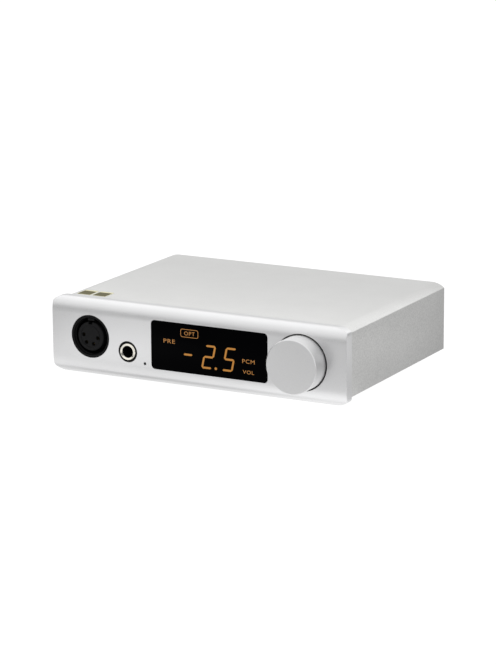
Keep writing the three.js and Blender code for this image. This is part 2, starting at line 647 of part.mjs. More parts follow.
// The mains inlet: a six-sided mouth with three flat blades.
function powerInlet() {
  const bezel = slabAlongY(roundedRectangle(30, 23.4, 2), [SEAT, 1.8], 4);
  const mouth = polygon([
    [-12, -8], [12, -8], [12, 3.5], [7.5, 8], [-7.5, 8], [-12, 3.5],
  ]);
  const floor = -13;
  const body = bar(INLET_BODY.width, INLET_BODY.height, [-16, 1]);
  const shell = cut(join(bezel, body), slabAlongY(mouth, [floor, 3]));
  const contacts = [[-7, -2], [7, -2], [0, 2]].map(([x, z]) => bar(2, 4, [floor - 1, -3], x, z));
  return join(shell, ...contacts);
}

function rearSockets() {
  const at = (x, z, ...pieces) => groupAt([x, PANEL_OUTER, z], pieces);
  const pivotPiece = piece('power_rocker', rocker(), FINISH.blackPlastic);
  const shutter = piece('optical_shutter', opticalShutter(), FINISH.blackPlastic);
  return [
    at(BALANCED_OUT.left, OUT_HEIGHT, piece('balanced_out_left', balancedOut(), FINISH.steel)),
    at(BALANCED_OUT.right, OUT_HEIGHT, piece('balanced_out_right', balancedOut(), FINISH.steel)),
    at(LINE_OUT_X, LINE_OUT_UPPER, piece('line_out_upper', phonoSocket(), FINISH.brass)),
    at(LINE_OUT_X, LOW_SOCKET_HEIGHT, piece('line_out_lower', phonoSocket(), FINISH.brass)),
    at(COAX_X, LOW_SOCKET_HEIGHT, piece('coax_socket', phonoSocket(), FINISH.brass)),
    at(USB_X, LOW_SOCKET_HEIGHT, piece('usb_socket', usbSocket(), FINISH.steel)),
    at(OPTICAL.x, OPTICAL.z,
      piece('optical_socket', opticalSocket(), FINISH.blackPlastic),
      groupAt([0, FLAP.y, FLAP.z], [shutter])),
    at(ROCKER.x, OUT_HEIGHT,
      piece('rocker_frame', rockerFrame(), FINISH.blackPlastic),
      groupAt([0, ROCKER.pivot, 0], [pivotPiece], ROCKER.tilt)),
    at(POWER_INLET_X, OUT_HEIGHT, piece('power_inlet', powerInlet(), FINISH.blackPlastic)),
  ];
}

// ---- Boards and electronics ----

const BOARD_TOP = BOARD_BOTTOM + BOARD_THICKNESS;

function board([x0, x1], [y0, y1], screws) {
  const hole = BOARD_SCREW.shank + 0.3;
  const holes = screws.map(([x, y]) => post(hole, [BOARD_BOTTOM - 1, BOARD_TOP + 1], x, y, TINY_ROUND));
  return cut(block([x0, x1], [y0, y1], [BOARD_BOTTOM, BOARD_TOP]), ...holes);
}

// A component standing on a board, drawn from z = 0 up.
function standing(name, [x, y], body, finish) {
  return groupAt([x, y, BOARD_TOP + SEAT], [piece(name, body, finish)]);
}

function chip(size, height) {
  return block([-size / 2, size / 2], [-size / 2, size / 2], [0, height]);
}

function relay() {
  return bar(7.5, 10, [-7.5, 7.5], 0, 5);
}

function capacitor(radius, height) {
  return post(radius, [0, height], 0, 0, SMALL_ROUND);
}

// A finned heatsink: a base web with upright fins.
function heatsink() {
  const height = 24;
  const fin = { thickness: 1.6, half: 7 };
  const fins = [-20, -12, -4, 4, 12, 20].map(
    (x) => bar(fin.thickness, height, [-fin.half, fin.half], x, height / 2));
  return join(bar(44, height, [-1.5, 1.5], 0, height / 2), ...fins);
}

// A wound transformer: a core with a bobbin that stands proud in the middle.
function transformer() {
  return join(
    block([-14, 14], [-5, 5], [0, 24]),
    block([-9, 9], [-12, 12], [2, 22]),
  );
}

function boardScrews() {
  const places = Object.values(BOARD_SCREWS).flat();
  return places.map(([x, y], index) => {
    const body = panScrew(BOARD_SCREW).rotate([90, 0, 0]);
    return groupAt([x, y, BOARD_TOP + SEAT], [piece(`board_screw_${index + 1}`, body, FINISH.steel)]);
  });
}

// A flat cable that leaves the front board and turns down on to the main board.
function ribbonCable() {
  const thickness = 0.9;
  const bend = 5;
  const start = { y: 17.4, z: 24 };
  const end = 30;
  const low = 12;
  const shape = new THREE.Shape();
  shape.moveTo(start.y, start.z);
  shape.lineTo(start.y, low + bend);
  shape.absarc(start.y + bend, low + bend, bend, Math.PI, 1.5 * Math.PI);
  shape.lineTo(end, low);
  shape.lineTo(end, low + thickness);
  shape.absarc(start.y + bend, low + bend, bend - thickness, 1.5 * Math.PI, Math.PI, true);
  shape.lineTo(start.y + thickness, start.z);
  const strip = slabAlongX(shape, [-9, 9]);
  const upperPlug = block([-10, 10], [16.9, 19.4], [23, 27]);
  const lowerPlug = block([-10, 10], [28, 32], [BOARD_TOP + SEAT, 14]);
  return join(strip, upperPlug, lowerPlug);
}

function electronics() {
  const frontBoard = block([-35.5, 81], [15.1, 16.7], [BOARD_TOP + 0.3, 40]);
  const boardDepth = [18, 127];
  return [
    piece('front_board', frontBoard, FINISH.board),
    piece('ribbon_cable', ribbonCable(), FINISH.greyRibbon),
    piece('main_board', board([-81.5, 30], boardDepth, BOARD_SCREWS.main), FINISH.board),
    piece('power_board', board([35, 81.5], boardDepth, BOARD_SCREWS.power), FINISH.board),
    standing('audio_processor_chip', [8, 96], chip(12, 1.4), FINISH.blackPlastic),
    standing('dac_chip_left', [-24, 82], chip(7, 1), FINISH.blackPlastic),
    standing('dac_chip_right', [-40, 82], chip(7, 1), FINISH.blackPlastic),
    standing('output_relay_left', [-52, 94], relay(), FINISH.blackPlastic),
    standing('output_relay_right', [-64, 94], relay(), FINISH.blackPlastic),
    standing('filter_capacitor_left', [-10, 58], capacitor(5, 12.5), FINISH.blackPlastic),
    standing('filter_capacitor_right', [4, 58], capacitor(5, 12.5), FINISH.blackPlastic),
    standing('amplifier_heatsink', [-50, 56], heatsink(), FINISH.turnedAluminium),
    standing('power_transformer', [58, 76], transformer(), FINISH.blackPlastic),
    standing('power_capacitor', [58, 48], capacitor(9, 26), FINISH.blackPlastic),
    ...boardScrews(),
  ];
}

// ---- The whole device ----

export default groupAt([0, FRONT_FACE, 0], [
  ...housing(),
  displayPieces(),
  balancedJackPieces(),
  headphoneJackPieces(),
  statusLight(),
  knobPieces(),
  ...rearSockets(),
  ...electronics(),
]);
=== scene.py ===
"""Looks of a desktop digital-to-analogue converter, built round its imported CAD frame.

Shapes are drawn in millimetres in the row frame (+X right, +Y back, +Z up) and scaled to metres
when they become objects. Places come from the boxes of the CAD nodes.
"""
import json
import math

import bmesh
import bpy
from mathutils import Matrix, Vector


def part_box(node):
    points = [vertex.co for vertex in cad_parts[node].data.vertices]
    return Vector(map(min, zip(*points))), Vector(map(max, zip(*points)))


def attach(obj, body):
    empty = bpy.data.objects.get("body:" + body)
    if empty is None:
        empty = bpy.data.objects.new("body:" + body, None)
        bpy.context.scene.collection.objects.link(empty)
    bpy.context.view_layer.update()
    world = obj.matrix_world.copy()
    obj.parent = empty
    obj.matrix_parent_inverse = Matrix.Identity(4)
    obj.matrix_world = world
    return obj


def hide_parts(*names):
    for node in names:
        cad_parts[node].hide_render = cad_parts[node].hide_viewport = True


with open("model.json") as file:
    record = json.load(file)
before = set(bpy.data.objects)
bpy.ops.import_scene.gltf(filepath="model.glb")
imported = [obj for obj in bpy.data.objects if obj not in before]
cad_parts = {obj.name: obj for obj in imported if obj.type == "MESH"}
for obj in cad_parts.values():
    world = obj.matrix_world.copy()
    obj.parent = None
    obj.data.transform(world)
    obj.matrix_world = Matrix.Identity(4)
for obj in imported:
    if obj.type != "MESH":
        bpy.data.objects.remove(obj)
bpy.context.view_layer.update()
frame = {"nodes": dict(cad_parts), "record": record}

MM = 0.001
ROUND = 96  # sides of a large round solid
SMALL_ROUND = 40
CORNERS = ("low_left", "low_right", "high_left", "high_right")


class Spot:
    """Where a CAD node is, in millimetres."""

    def __init__(self, node):
        low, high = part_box(node)
        self.low = low / MM
        self.high = high / MM
        self.mid = (self.low + self.high) / 2
        self.size = self.high - self.low


SLOTS = {part["node"]: part["material_slot"] for part in frame["record"]["subparts"]}
PLATE = Spot("faceplate")
COVER = Spot("top_cover")
PANEL = Spot("rear_panel")
WINDOW = Spot("display_window")
KNOB = Spot("volume_knob")
FRONT = PLATE.low.y
PANEL_FACE = PANEL.high.y

PLATE_CROWN_RADIUS = 17.5
PLATE_CROWN_DEPTH = 2.6
PLATE_CROWN_RISE = math.sqrt(PLATE_CROWN_DEPTH * (2 * PLATE_CROWN_RADIUS - PLATE_CROWN_DEPTH))
PLATE_EDGE = 0.4
CORNER_RADIUS = 12.0  # of the arcs at the corners of the plate and the cover
CORNER_ANGLE = 40  # how far each arc turns before it meets the side
CORNER_SOFTNESS = 1.3
COVER_WALL = 2.5


# ---------------------------------------------------------------- outlines

def arc(u, v, radius, start, end, steps):
    """Points of an arc about (u, v), from start to end degrees."""
    angles = [math.radians(start + (end - start) * i / steps) for i in range(steps + 1)]
    return [(u + radius * math.cos(a), v + radius * math.sin(a)) for a in angles]


def rounded_rectangle(width, height, corner, u, v, steps=8):
    half_w, half_h = width / 2 - corner, height / 2 - corner
    points = []
    for sign_u, sign_v, start in ((1, -1, -90), (1, 1, 0), (-1, 1, 90), (-1, -1, 180)):
        points += arc(u + sign_u * half_w, v + sign_v * half_h, corner, start, start + 90, steps)
    return points


def bend(start, corner, end, steps):
    """Points of a curve from start to end that is drawn towards corner."""
    points = []
    for k in range(steps + 1):
        t = k / steps
        curve = start * (1 - t) ** 2 + corner * 2 * t * (1 - t) + end * t ** 2
        points.append((curve.x, curve.y))
    return points


def filleted(points, radius, steps=4, closed=False):
    """An outline whose corners are rounded. The ends of an open outline stay sharp."""
    count = len(points)
    result = []
    for i, point in enumerate(points):
        if not closed and i in (0, count - 1):
            result.append(point)
            continue
        here = Vector(point)
        back = Vector(points[i - 1]) - here
        ahead = Vector(points[(i + 1) % count]) - here
        turn = back.angle(ahead)
        if turn > math.radians(165):
            result.append(point)
            continue
        reach = min(radius / math.tan(turn / 2), back.length * 0.45, ahead.length * 0.45)
        start, end = here + back.normalized() * reach, here + ahead.normalized() * reach
        result += bend(start, here, end, steps)
    return result


# ---------------------------------------------------------------- meshes

PLACES = {  # a point from its place (u, v) in an outline and w along the axis
    "x": lambda u, v, w: (w, u, v),
    "y": lambda u, v, w: (u, w, v),
    "z": lambda u, v, w: (u, v, w),
}


def skin(bm, rings):
    """Faces between neighbouring rings of vertices. A ring of one vertex is a point."""
    for near, far in zip(rings, rings[1:]):
        for i in range(max(len(near), len(far))):
            corners = ((near, i), (near, i + 1), (far, i + 1), (far, i))
            corners = list(dict.fromkeys(ring[k % len(ring)] for ring, k in corners))
            if len(corners) > 2:
                bm.faces.new(corners)


def loft(loops):
    """A closed solid through loops with the same number of points, capped at both ends."""
    bm = bmesh.new()
    rows = [[bm.verts.new(p) for p in loop] for loop in loops]
    skin(bm, rows)
    bm.faces.new(rows[0])
    bm.faces.new(rows[-1])
    bmesh.ops.recalc_face_normals(bm, faces=bm.faces)
    return bm


def lathe(profile, centre=(0, 0, 0), count=ROUND, axis="y"):
    """A solid of revolution of (radius, along) points. Radius 0 is a point on the axis."""
    bm = bmesh.new()
    rows = []
    for radius, along in profile:
        steps = 1 if radius < 1e-6 else count
        row = []
        for i in range(steps):
            angle = 2 * math.pi * i / count
            u, v = radius * math.cos(angle), radius * math.sin(angle)
            row.append(bm.verts.new(PLACES[axis](u, v, along)))
        rows.append(row)
    if profile[0][0] > 0 and profile[-1][0] > 0:
        rows.append(rows[0])
    skin(bm, rows)
    bmesh.ops.recalc_face_normals(bm, faces=bm.faces)
    bmesh.ops.translate(bm, verts=bm.verts, vec=Vector(centre))
    return bm


def rod(radius, start, end):
    """The profile of a plain round bar."""
    return [(0, start), (radius, start), (radius, end), (0, end)]


def sleeve(inner, outer, start, end):
    """The profile of a plain tube."""
    return [(inner, start), (outer, start), (outer, end), (inner, end)]


def turned(profile, centre, edge=0.25, count=ROUND, axis="y"):
    """A lathe solid whose corners are rounded."""
    closed = profile[0][0] > 0 and profile[-1][0] > 0
    return lathe(filleted(profile, edge, closed=closed), centre, count, axis)


def prism(outline, near, far, axis="y"):
    """An outline given thickness along an axis."""
    return loft([[PLACES[axis](u, v, w) for u, v in outline] for w in (near, far)])


def stack(width, height, corner, layers, x, z):
    """Rounded rectangles along y. Each layer is (y, how far it lies inside the full size)."""
    loops = []
    for y, inset in layers:
        outline = rounded_rectangle(width - 2 * inset, height - 2 * inset,
                                    max(corner - inset, 0.02), x, z)
        loops.append([(u, y, v) for u, v in outline])
    return loft(loops)


def slab(width, height, corner, near, far, x, z, edge):
    """A rounded rectangle along y, its front and back edges rounded."""
    curve = [(edge - u, edge - v) for u, v in arc(0, 0, edge, 0, 90, 3)]
    layers = [(near + depth, inset) for depth, inset in curve]
    layers += [(far - depth, inset) for depth, inset in reversed(curve)]
    return stack(width, height, corner, layers, x, z)


def block(low, high):
    outline = [(low[0], low[2]), (high[0], low[2]), (high[0], high[2]), (low[0], high[2])]
    return prism(outline, low[1], high[1])


def soften(bm, width, segments=2, limit=35):
    """Bevels every edge that turns by more than limit degrees."""
    sharp = [e for e in bm.edges if len(e.link_faces) == 2
             and e.calc_face_angle(0) > math.radians(limit)]
    bmesh.ops.bevel(bm, geom=sharp, offset=width, segments=segments, profile=0.5,
                    affect="EDGES", clamp_overlap=True)
    return bm


def as_object(bm, name):
    mesh = bpy.data.meshes.new(name)
    bm.to_mesh(mesh)
    bm.free()
    obj = bpy.data.objects.new(name, mesh)
    bpy.context.scene.collection.objects.link(obj)
    return obj


def carved(base, *cutters, operation="DIFFERENCE"):
    """base with the cutters taken away, or joined on."""
    target = as_object(base, "target")
    tools = [as_object(cutter, "tool") for cutter in cutters]
    for tool in tools:
        modifier = target.modifiers.new("carve", "BOOLEAN")
        modifier.operation = operation
        modifier.solver = "EXACT"
        modifier.object = tool
    bpy.context.view_layer.update()
    evaluated = target.evaluated_get(bpy.context.evaluated_depsgraph_get())
    bm = bmesh.new()
    bm.from_mesh(evaluated.data)
    for obj in [target, *tools]:
        mesh = obj.data
        bpy.data.objects.remove(obj)
        bpy.data.meshes.remove(mesh)
    bmesh.ops.remove_doubles(bm, verts=bm.verts, dist=0.0005)
    return bm


def joined(base, *others):
    return carved(base, *others, operation="UNION")


def mouthed(near, far, flare, mouth):
    """Layers (y, growth) of a hole that is open and slightly wider at its front or back mouth."""
    if mouth == "front":
        return [(near - 2, flare), (near, flare), (near + flare, 0), (far, 0)]
    return [(near, 0), (far - flare, 0), (far, flare), (far + 2, flare)]


def well(radius, near, far, x, z, flare=0.2, count=ROUND, mouth="front"):
    """A cutter for a round hole."""
    layers = mouthed(near, far, flare, mouth)
    profile = [(radius + growth, y) for y, growth in layers]
    return lathe([(0, layers[0][0]), *profile, (0, layers[-1][0])], (x, 0, z), count)


def window_cutter(width, height, corner, near, far, x, z, flare, mouth="front"):
    """A cutter for a rounded rectangular opening."""
    layers = [(y, -growth) for y, growth in mouthed(near, far, flare, mouth)]
    return stack(width, height, corner, layers, x, z)


def add(name, bm, material, body="root", replaces=None, smooth=35):
    """Makes the bmesh, drawn in millimetres, into a piece that may stand for a CAD node."""
    bmesh.ops.scale(bm, verts=bm.verts, vec=(MM, MM, MM))
    obj = as_object(bm, name)
    mesh = obj.data
    mesh.materials.append(material)
    mesh.polygons.foreach_set("use_smooth", [True] * len(mesh.polygons))
    mesh.set_sharp_from_angle(angle=math.radians(smooth))
    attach(obj, body)
    if replaces:
        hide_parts(replaces)


# ---------------------------------------------------------------- materials

class Nodes:
    """A small helper that builds the nodes of a material or a world."""

    def __init__(self, owner, coordinates):
        owner.use_nodes = True
        self.tree = owner.node_tree
        self.coordinates = self.node("TexCoord", coordinates)

    def feed(self, socket, value):
        """Gives a socket a plain value or another node's output."""
        if isinstance(value, bpy.types.NodeSocket):
            self.tree.links.new(value, socket)
        else:
            socket.default_value = value

    def node(self, kind, output, inputs=None, **settings):
        """An output of a new node with these inputs and settings."""
        made = self.tree.nodes.new("ShaderNode" + kind)
        for key, value in settings.items():
            setattr(made, key, value)
        for key, value in (inputs or {}).items():
            self.feed(made.inputs[key], value)
        return made.outputs[output]

    def maths(self, operation, a, b):
        return self.node("Math", "Value", {0: a, 1: b}, operation=operation)

    def dot(self, a, b):
        return self.node("VectorMath", "Value", {0: a, 1: b}, operation="DOT_PRODUCT")

    def part(self, vector, axis):
        """One component of a vector."""
        return self.node("SeparateXYZ", axis, {"Vector": vector})

    def ramp(self, source, from_low, from_high, to_low, to_high, style="LINEAR"):
        """Maps one range to another and stays at its ends."""
        inputs = {"Value": source, "From Min": from_low, "From Max": from_high,
                  "To Min": to_low, "To Max": to_high}
        return self.node("MapRange", "Result", inputs, interpolation_type=style)


class Finish(Nodes):
    """A procedural material."""

    def __init__(self, name):
        self.material = bpy.data.materials.new(name)
        super().__init__(self.material, "Object")

    def set(self, **inputs):
        """Gives the surface shader its inputs. An underscore stands for a space."""
        surface = self.tree.nodes["Principled BSDF"]
        for key, value in inputs.items():
            self.feed(surface.inputs[key.replace("_", " ")], value)

    def noise(self, size, detail=2.0):
        """Noise with features of about size millimetres."""
        inputs = {"Vector": self.coordinates, "Scale": 1 / (size * MM), "Detail": detail}
        return self.node("TexNoise", "Fac", inputs)

    def spread(self, noise, low, high):
        """Maps the middle of a noise to the range low..high."""
        return self.ramp(noise, 0.3, 0.7, low, high)

    def tint(self, colour, strength):
        """colour times a grey value that varies."""
        inputs = {"Factor": 1, "A": (*colour, 1), "B": strength}
        return self.node("Mix", "Result", inputs, data_type="RGBA", blend_type="MULTIPLY")

    def bump(self, height, distance, strength):
        inputs = {"Height": height, "Distance": distance * MM, "Strength": strength}
        self.set(Normal=self.node("Bump", "Normal", inputs))

    def facing(self, axis):
        """1 where the surface faces along the axis, either way, and 0 where it lies along it."""
        normal = self.node("NewGeometry", "Normal")
        return self.maths("ABSOLUTE", self.part(normal, axis), 0)

    def painted_edge_highlight(self, radius=0.4):
        """1 along sharp edges and 0 elsewhere, a mask for a painted highlight along them."""
        rounded = self.node("Bevel", "Normal", {"Radius": radius * MM}, samples=4)
        return self.ramp(self.dot(rounded, self.node("NewGeometry", "Normal")), 0.97, 0.75, 0, 1)


def blasted_aluminium(name, colour, speckle, roughness, wall_grain):
    """Bead-blasted aluminium: a fine sparkle over a mottle, which is strongest on the sides."""
    n = Finish(name)
    n.set(Metallic=1.0)
    fine, mottle, broad = n.noise(0.16, 3), n.noise(0.7, 3), n.noise(18, 2)
    wall = n.maths("ADD", n.facing("X"), 0.2)
    grain = n.maths("MULTIPLY", n.spread(mottle, -wall_grain, wall_grain), wall)
    shade = n.maths("ADD", n.spread(fine, 1 - speckle, 1 + speckle), grain)
    shade = n.maths("ADD", shade, n.spread(broad, -0.012, 0.012))
    # painted highlight: the base colour is a tenth lighter along sharp edges
    shade = n.maths("ADD", shade, n.maths("MULTIPLY", n.painted_edge_highlight(), 0.1))
    n.set(Base_Color=n.tint(colour, shade))
    rough = n.maths("ADD", n.spread(mottle, roughness - 0.03, roughness + 0.03),
                    n.spread(fine, -0.03, 0.03))
    n.set(Roughness=rough)
    n.bump(fine, 0.012, 0.5)
    return n.material


WAVE_LENGTH = 2 * math.pi / 20  # of the wave texture at a scale of 1


def turned_aluminium(name, colour, centre, roughness, ring_pitch):
    """Lathe-turned aluminium: rings about an axis along y, its rim brushed round the axis."""
    n = Finish(name)
    n.set(Metallic=1.0)
    shift = (-centre.x * MM, 0, -centre.z * MM)
    centred = n.node("Mapping", "Vector", {"Vector": n.coordinates, "Location": shift})
    inputs = {"Vector": centred, "Scale": WAVE_LENGTH / (ring_pitch * MM), "Distortion": 0.4,
              "Detail": 1}
    rings = n.node("TexWave", "Fac", inputs, wave_type="RINGS", rings_direction="Y")
    fine, mottle = n.noise(0.12, 2), n.noise(0.9, 2)
    shade = n.maths("ADD", n.spread(fine, 0.98, 1.02), n.spread(mottle, -0.012, 0.012))
    # painted highlight: the base colour is lighter along sharp edges
    shade = n.maths("ADD", shade, n.maths("MULTIPLY", n.painted_edge_highlight(), 0.12))
    n.set(Base_Color=n.tint(colour, shade))
    rough = n.maths("ADD", n.spread(fine, roughness - 0.03, roughness + 0.03),
                    n.maths("MULTIPLY", rings, 0.03))
    n.set(Roughness=rough)
    rim = n.maths("SUBTRACT", 1, n.facing("Y"))
    tangent = n.node("Tangent", "Tangent", direction_type="RADIAL", axis="Y")
    n.set(Anisotropic=n.maths("MULTIPLY", rim, 0.85), Anisotropic_Rotation=0.25, Tangent=tangent)
    n.bump(n.maths("ADD", n.maths("MULTIPLY", rings, 0.4), fine), 0.003, 0.4)
    return n.material


def plated(name, colour, roughness):
    """Plated or polished metal with faint smears."""
    n = Finish(name)
    n.set(Metallic=1.0)
    smear, fine = n.noise(2.5, 3), n.noise(0.1, 2)
    n.set(Base_Color=n.tint(colour, n.spread(smear, 0.96, 1.03)))
    n.set(Roughness=n.spread(smear, roughness * 0.7, roughness * 1.4))
    n.bump(fine, 0.002, 0.3)
    return n.material


def moulded(name, colour, roughness, grain=0.25, depth=0.02, shine=0.4):
    """Moulded plastic or rubber with a fine spark-eroded grain."""
    n = Finish(name)
    n.set(Specular_IOR_Level=shine)
    fine, mottle = n.noise(grain, 2), n.noise(4, 2)
    # painted highlight: the base colour is lighter along sharp edges, over the mottle
    shade = n.maths("ADD", n.spread(mottle, 0.9, 1.1), n.maths("MULTIPLY", n.painted_edge_highlight(0.3), 0.5))
    n.set(Base_Color=n.tint(colour, shade))
    n.set(Roughness=n.spread(fine, roughness - 0.08, roughness + 0.08))
    n.bump(fine, depth, 0.6)
    return n.material


def black_gloss(name):
    """Polished black acrylic, very slightly wavy."""
    n = Finish(name)
    n.set(Specular_IOR_Level=0.015)
    wave, dust = n.noise(30, 1), n.noise(0.3, 2)
    n.set(Base_Color=n.tint((0.0005, 0.0005, 0.0008), n.spread(dust, 0.8, 1.2)))
    n.set(Roughness=n.spread(dust, 0.04, 0.08))
    n.bump(wave, 0.01, 0.2)
    return n.material


def circuit_board(name):
    """Green solder mask over traces that show as a faint relief."""
    n = Finish(name)
    inputs = {"Vector": n.coordinates, "Scale": 110, "Mortar Size": 0.03,
              "Color1": (0.012, 0.085, 0.045, 1), "Color2": (0.016, 0.1, 0.055, 1),
              "Mortar": (0.03, 0.16, 0.09, 1)}
    bricks = n.node("TexBrick", "Color", inputs)
    n.set(Base_Color=bricks, Roughness=n.spread(n.noise(1.5), 0.3, 0.42))
    n.bump(bricks.node.outputs["Fac"], 0.03, 0.5)
    return n.material


def foil(name, colour, roughness):
    """Metallised foil with a faint crinkle."""
    n = Finish(name)
    n.set(Metallic=0.85)
    crinkle, fine = n.noise(2.2, 3), n.noise(0.3, 2)
    n.set(Base_Color=n.tint(colour, n.spread(crinkle, 0.85, 1.15)))
    n.set(Roughness=n.spread(fine, roughness - 0.05, roughness + 0.08))
    n.bump(crinkle, 0.05, 0.4)
    return n.material


def glow(name, colour, strength):
    """A lit display segment, very slightly uneven."""
    n = Finish(name)
    n.set(Roughness=0.3, Base_Color=(0.02, 0.01, 0.002, 1), Emission_Color=(*colour, 1))
    n.set(Emission_Strength=n.spread(n.noise(1.2, 1), strength * 0.95, strength * 1.05))
    return n.material


# The plate and the cover share one blasted finish. The cover's is rougher and a shade darker.
PLATE_METAL = blasted_aluminium("plate_metal", (0.72, 0.72, 0.725), 0.02, 0.32, 0.03)
COVER_METAL = blasted_aluminium("cover_metal", (0.68, 0.68, 0.672), 0.03, 0.46, 0.1)
KNOB_METAL = turned_aluminium("knob_metal", (0.71, 0.71, 0.713), KNOB.mid, 0.42, 0.25)
STEEL = plated("steel", (0.62, 0.62, 0.61), 0.3)
DARK_STEEL = plated("dark_steel", (0.12, 0.12, 0.125), 0.35)
CHROME = plated("chrome", (0.86, 0.83, 0.74), 0.12)
GOLD = plated("gold", (0.83, 0.60, 0.25), 0.22)
GLOSS = black_gloss("black_gloss")
BLACK = moulded("black_plastic", (0.004, 0.004, 0.0043), 0.4, shine=0.1)
INSERT_BLACK = moulded("insert_black", (0.0075, 0.0075, 0.008), 0.5, shine=0.1)
RUBBER = moulded("rubber", (0.012, 0.012, 0.012), 0.8, 0.4, 0.05)
BOARD = circuit_board("board")
WHITE = moulded("white_plastic", (0.75, 0.75, 0.74), 0.4)
RED = moulded("red_plastic", (0.55, 0.03, 0.02), 0.4)
AMBER_PLASTIC = moulded("amber_plastic", (0.75, 0.30, 0.02), 0.4)
GREY = moulded("grey_plastic", (0.35, 0.35, 0.36), 0.5)
SMOKE = moulded("smoked_clear", (0.015, 0.015, 0.016), 0.3, 0.3, 0.005, shine=0.15)
FOIL_CREAM = foil("foil_cream", (0.80, 0.76, 0.50), 0.35)
FOIL_OLIVE = foil("foil_olive", (0.11, 0.095, 0.02), 0.45)
AMBER = glow("amber_light", (1.0, 0.40, 0.035), 0.42)
AMBER_DIM = glow("amber_dim", (1.0, 0.42, 0.08), 0.4)


# ---------------------------------------------------------------- housing

def crown(z):
    """How far the plate's front lies behind its flat middle at height z."""
    into = max(z - (PLATE.high.z - PLATE_CROWN_RISE), (PLATE.low.z + PLATE_CROWN_RISE) - z, 0)
    return PLATE_CROWN_RADIUS - math.sqrt(PLATE_CROWN_RADIUS ** 2 - into ** 2)


def plate_corner(inset):
    """The lower right corner of the plate's outline: an arc, then a softened edge."""
    arc_x = PLATE.high.x - CORNER_RADIUS * math.sin(math.radians(CORNER_ANGLE))
    arc_z = PLATE.low.z + CORNER_RADIUS
    radius, half_w = CORNER_RADIUS - inset, PLATE.high.x - inset
    meet = math.degrees(math.acos((half_w - arc_x) / radius))
    points = arc(arc_x, arc_z, radius, -90, -meet - math.degrees(CORNER_SOFTNESS / radius), 12)
    edge = Vector((half_w, arc_z - radius * math.sin(math.radians(meet))))
    start, end = Vector(points[-1]), edge + Vector((0, CORNER_SOFTNESS))
    return points + bend(start, edge, end, 5)[1:]


def plate_loop(inset, depth):
    """The plate's outline, inset, as points (x, y, z); depth turns a height into y."""
    low = plate_corner(inset)
    start, end = low[-1][1], PLATE.low.z + PLATE_CROWN_RISE + 0.2
    levels = [start + (end - start) * i / 6 for i in range(1, 7)]
    low += [(low[-1][0], z) for z in levels]
    high = [(x, 2 * PLATE.mid.z - z) for x, z in reversed(low)]
    side = low + high
    other = [(-x, z) for x, z in reversed(side)]
    return [(x, depth(z), z) for x, z in side + other]


def plate_body():
    """The front plate without its holes."""
    loops = []
    back = PLATE.high.y
    for k in range(5):
        angle = math.pi / 2 * k / 4
        inset = PLATE_EDGE * (1 - math.sin(angle))
        push = PLATE_EDGE * (1 - math.cos(angle))
        loops.append(plate_loop(inset, lambda z, p=push: FRONT + crown(z) + p))
    for inset, y in ((0, back - 0.2), (0.2, back)):
        loops.append(plate_loop(inset, lambda z, y=y: y))
    bm = loft(loops)
    # The front cap follows the crown, so it is rebuilt as rows of quads.
    bm.faces.ensure_lookup_table()
    count = len(loops[0])
    caps = [f for f in bm.faces if len(f.verts) == count]
    front = min(caps, key=lambda f: f.calc_center_median().y)
    ring = list(front.verts)
    ring.sort(key=lambda vert: (vert.co.x > 0, vert.co.z))
    half = count // 2
    left, right = ring[:half], ring[half:]
    bm.faces.remove(front)
    for i in range(half - 1):
        bm.faces.new((left[i], right[i], right[i + 1], left[i + 1]))
    bmesh.ops.recalc_face_normals(bm, faces=bm.faces)
    return bm


def front_plate():
    balanced, jack = Spot("balanced_jack_shell"), Spot("headphone_jack_collar")
    light, ring = Spot("status_light_pipe"), Spot("knob_ring")
    back = PLATE.high.y + 2
    body = carved(
        plate_body(),
        window_cutter(WINDOW.size.x + 0.2, WINDOW.size.z + 0.2, 2.35, FRONT, FRONT + 2.05,
                      WINDOW.mid.x, WINDOW.mid.z, 0.15),
        window_cutter(WINDOW.size.x - 4, WINDOW.size.z - 4, 1.5, FRONT + 1, back,
                      WINDOW.mid.x, WINDOW.mid.z, 0),
        well(ring.size.x / 2 + 0.05, FRONT, FRONT + 4.5, ring.mid.x, ring.mid.z, 0.2),
        well(3.7, FRONT + 3, back, ring.mid.x, ring.mid.z, 0, SMALL_ROUND),
        well(balanced.size.x / 2 + 0.1, FRONT, back, balanced.mid.x, balanced.mid.z, 0.25),
        well(JACK_NECK + 0.07, FRONT, back, jack.mid.x, jack.mid.z, 0.2),
        well(light.size.z / 2 + 0.2, FRONT, back, light.mid.x, light.mid.z, 0.05, SMALL_ROUND),
    )
    add("front_plate", body, PLATE_METAL, replaces="faceplate", smooth=28)


def cover_outline():
    """The cover from its end, as (x, z) points: outside first, then inside."""
    half = COVER.size.x / 2
    inner = half - COVER_WALL
    arc_x = half - CORNER_RADIUS * math.sin(math.radians(CORNER_ANGLE))
    arc_z = COVER.high.z - CORNER_RADIUS
    ceiling = COVER.high.z - COVER_WALL
    lip_top = Spot("bottom_plate").low.z - 0.2
    right = arc(arc_x, arc_z, CORNER_RADIUS, 90, 90 - CORNER_ANGLE, 20) + [(half, COVER.low.z)]
    right += [(inner - 2, COVER.low.z), (inner - 2, lip_top), (inner, lip_top)]
    right += arc(inner - 2, ceiling - 2, 2, 0, 90, 6)
    left = [(-x, z) for x, z in reversed(right)]
    return right + left


SCREW_CHANNEL = 3.4
SCREW_BORE = 1.3


def cover():
    """The one-piece top and sides, with a screw channel along each of its inner corners."""
    body = prism(cover_outline(), COVER.low.y, COVER.high.y)
    lobes, holes = [], []
    for corner in CORNERS:
        screw = Spot(f"rear_screw_{corner}")
        start, end = FRONT + 12, PANEL.low.y - 0.2
        middle = (screw.mid.x, 0, screw.mid.z)
        lobes.append(lathe(rod(SCREW_CHANNEL, start, end), middle, SMALL_ROUND))
        holes.append(lathe(rod(SCREW_BORE, start - 2, end + 2), middle, SMALL_ROUND))
    body = carved(joined(soften(body, 0.22), *lobes), *holes)
    add("cover", body, COVER_METAL, replaces="top_cover", smooth=28)


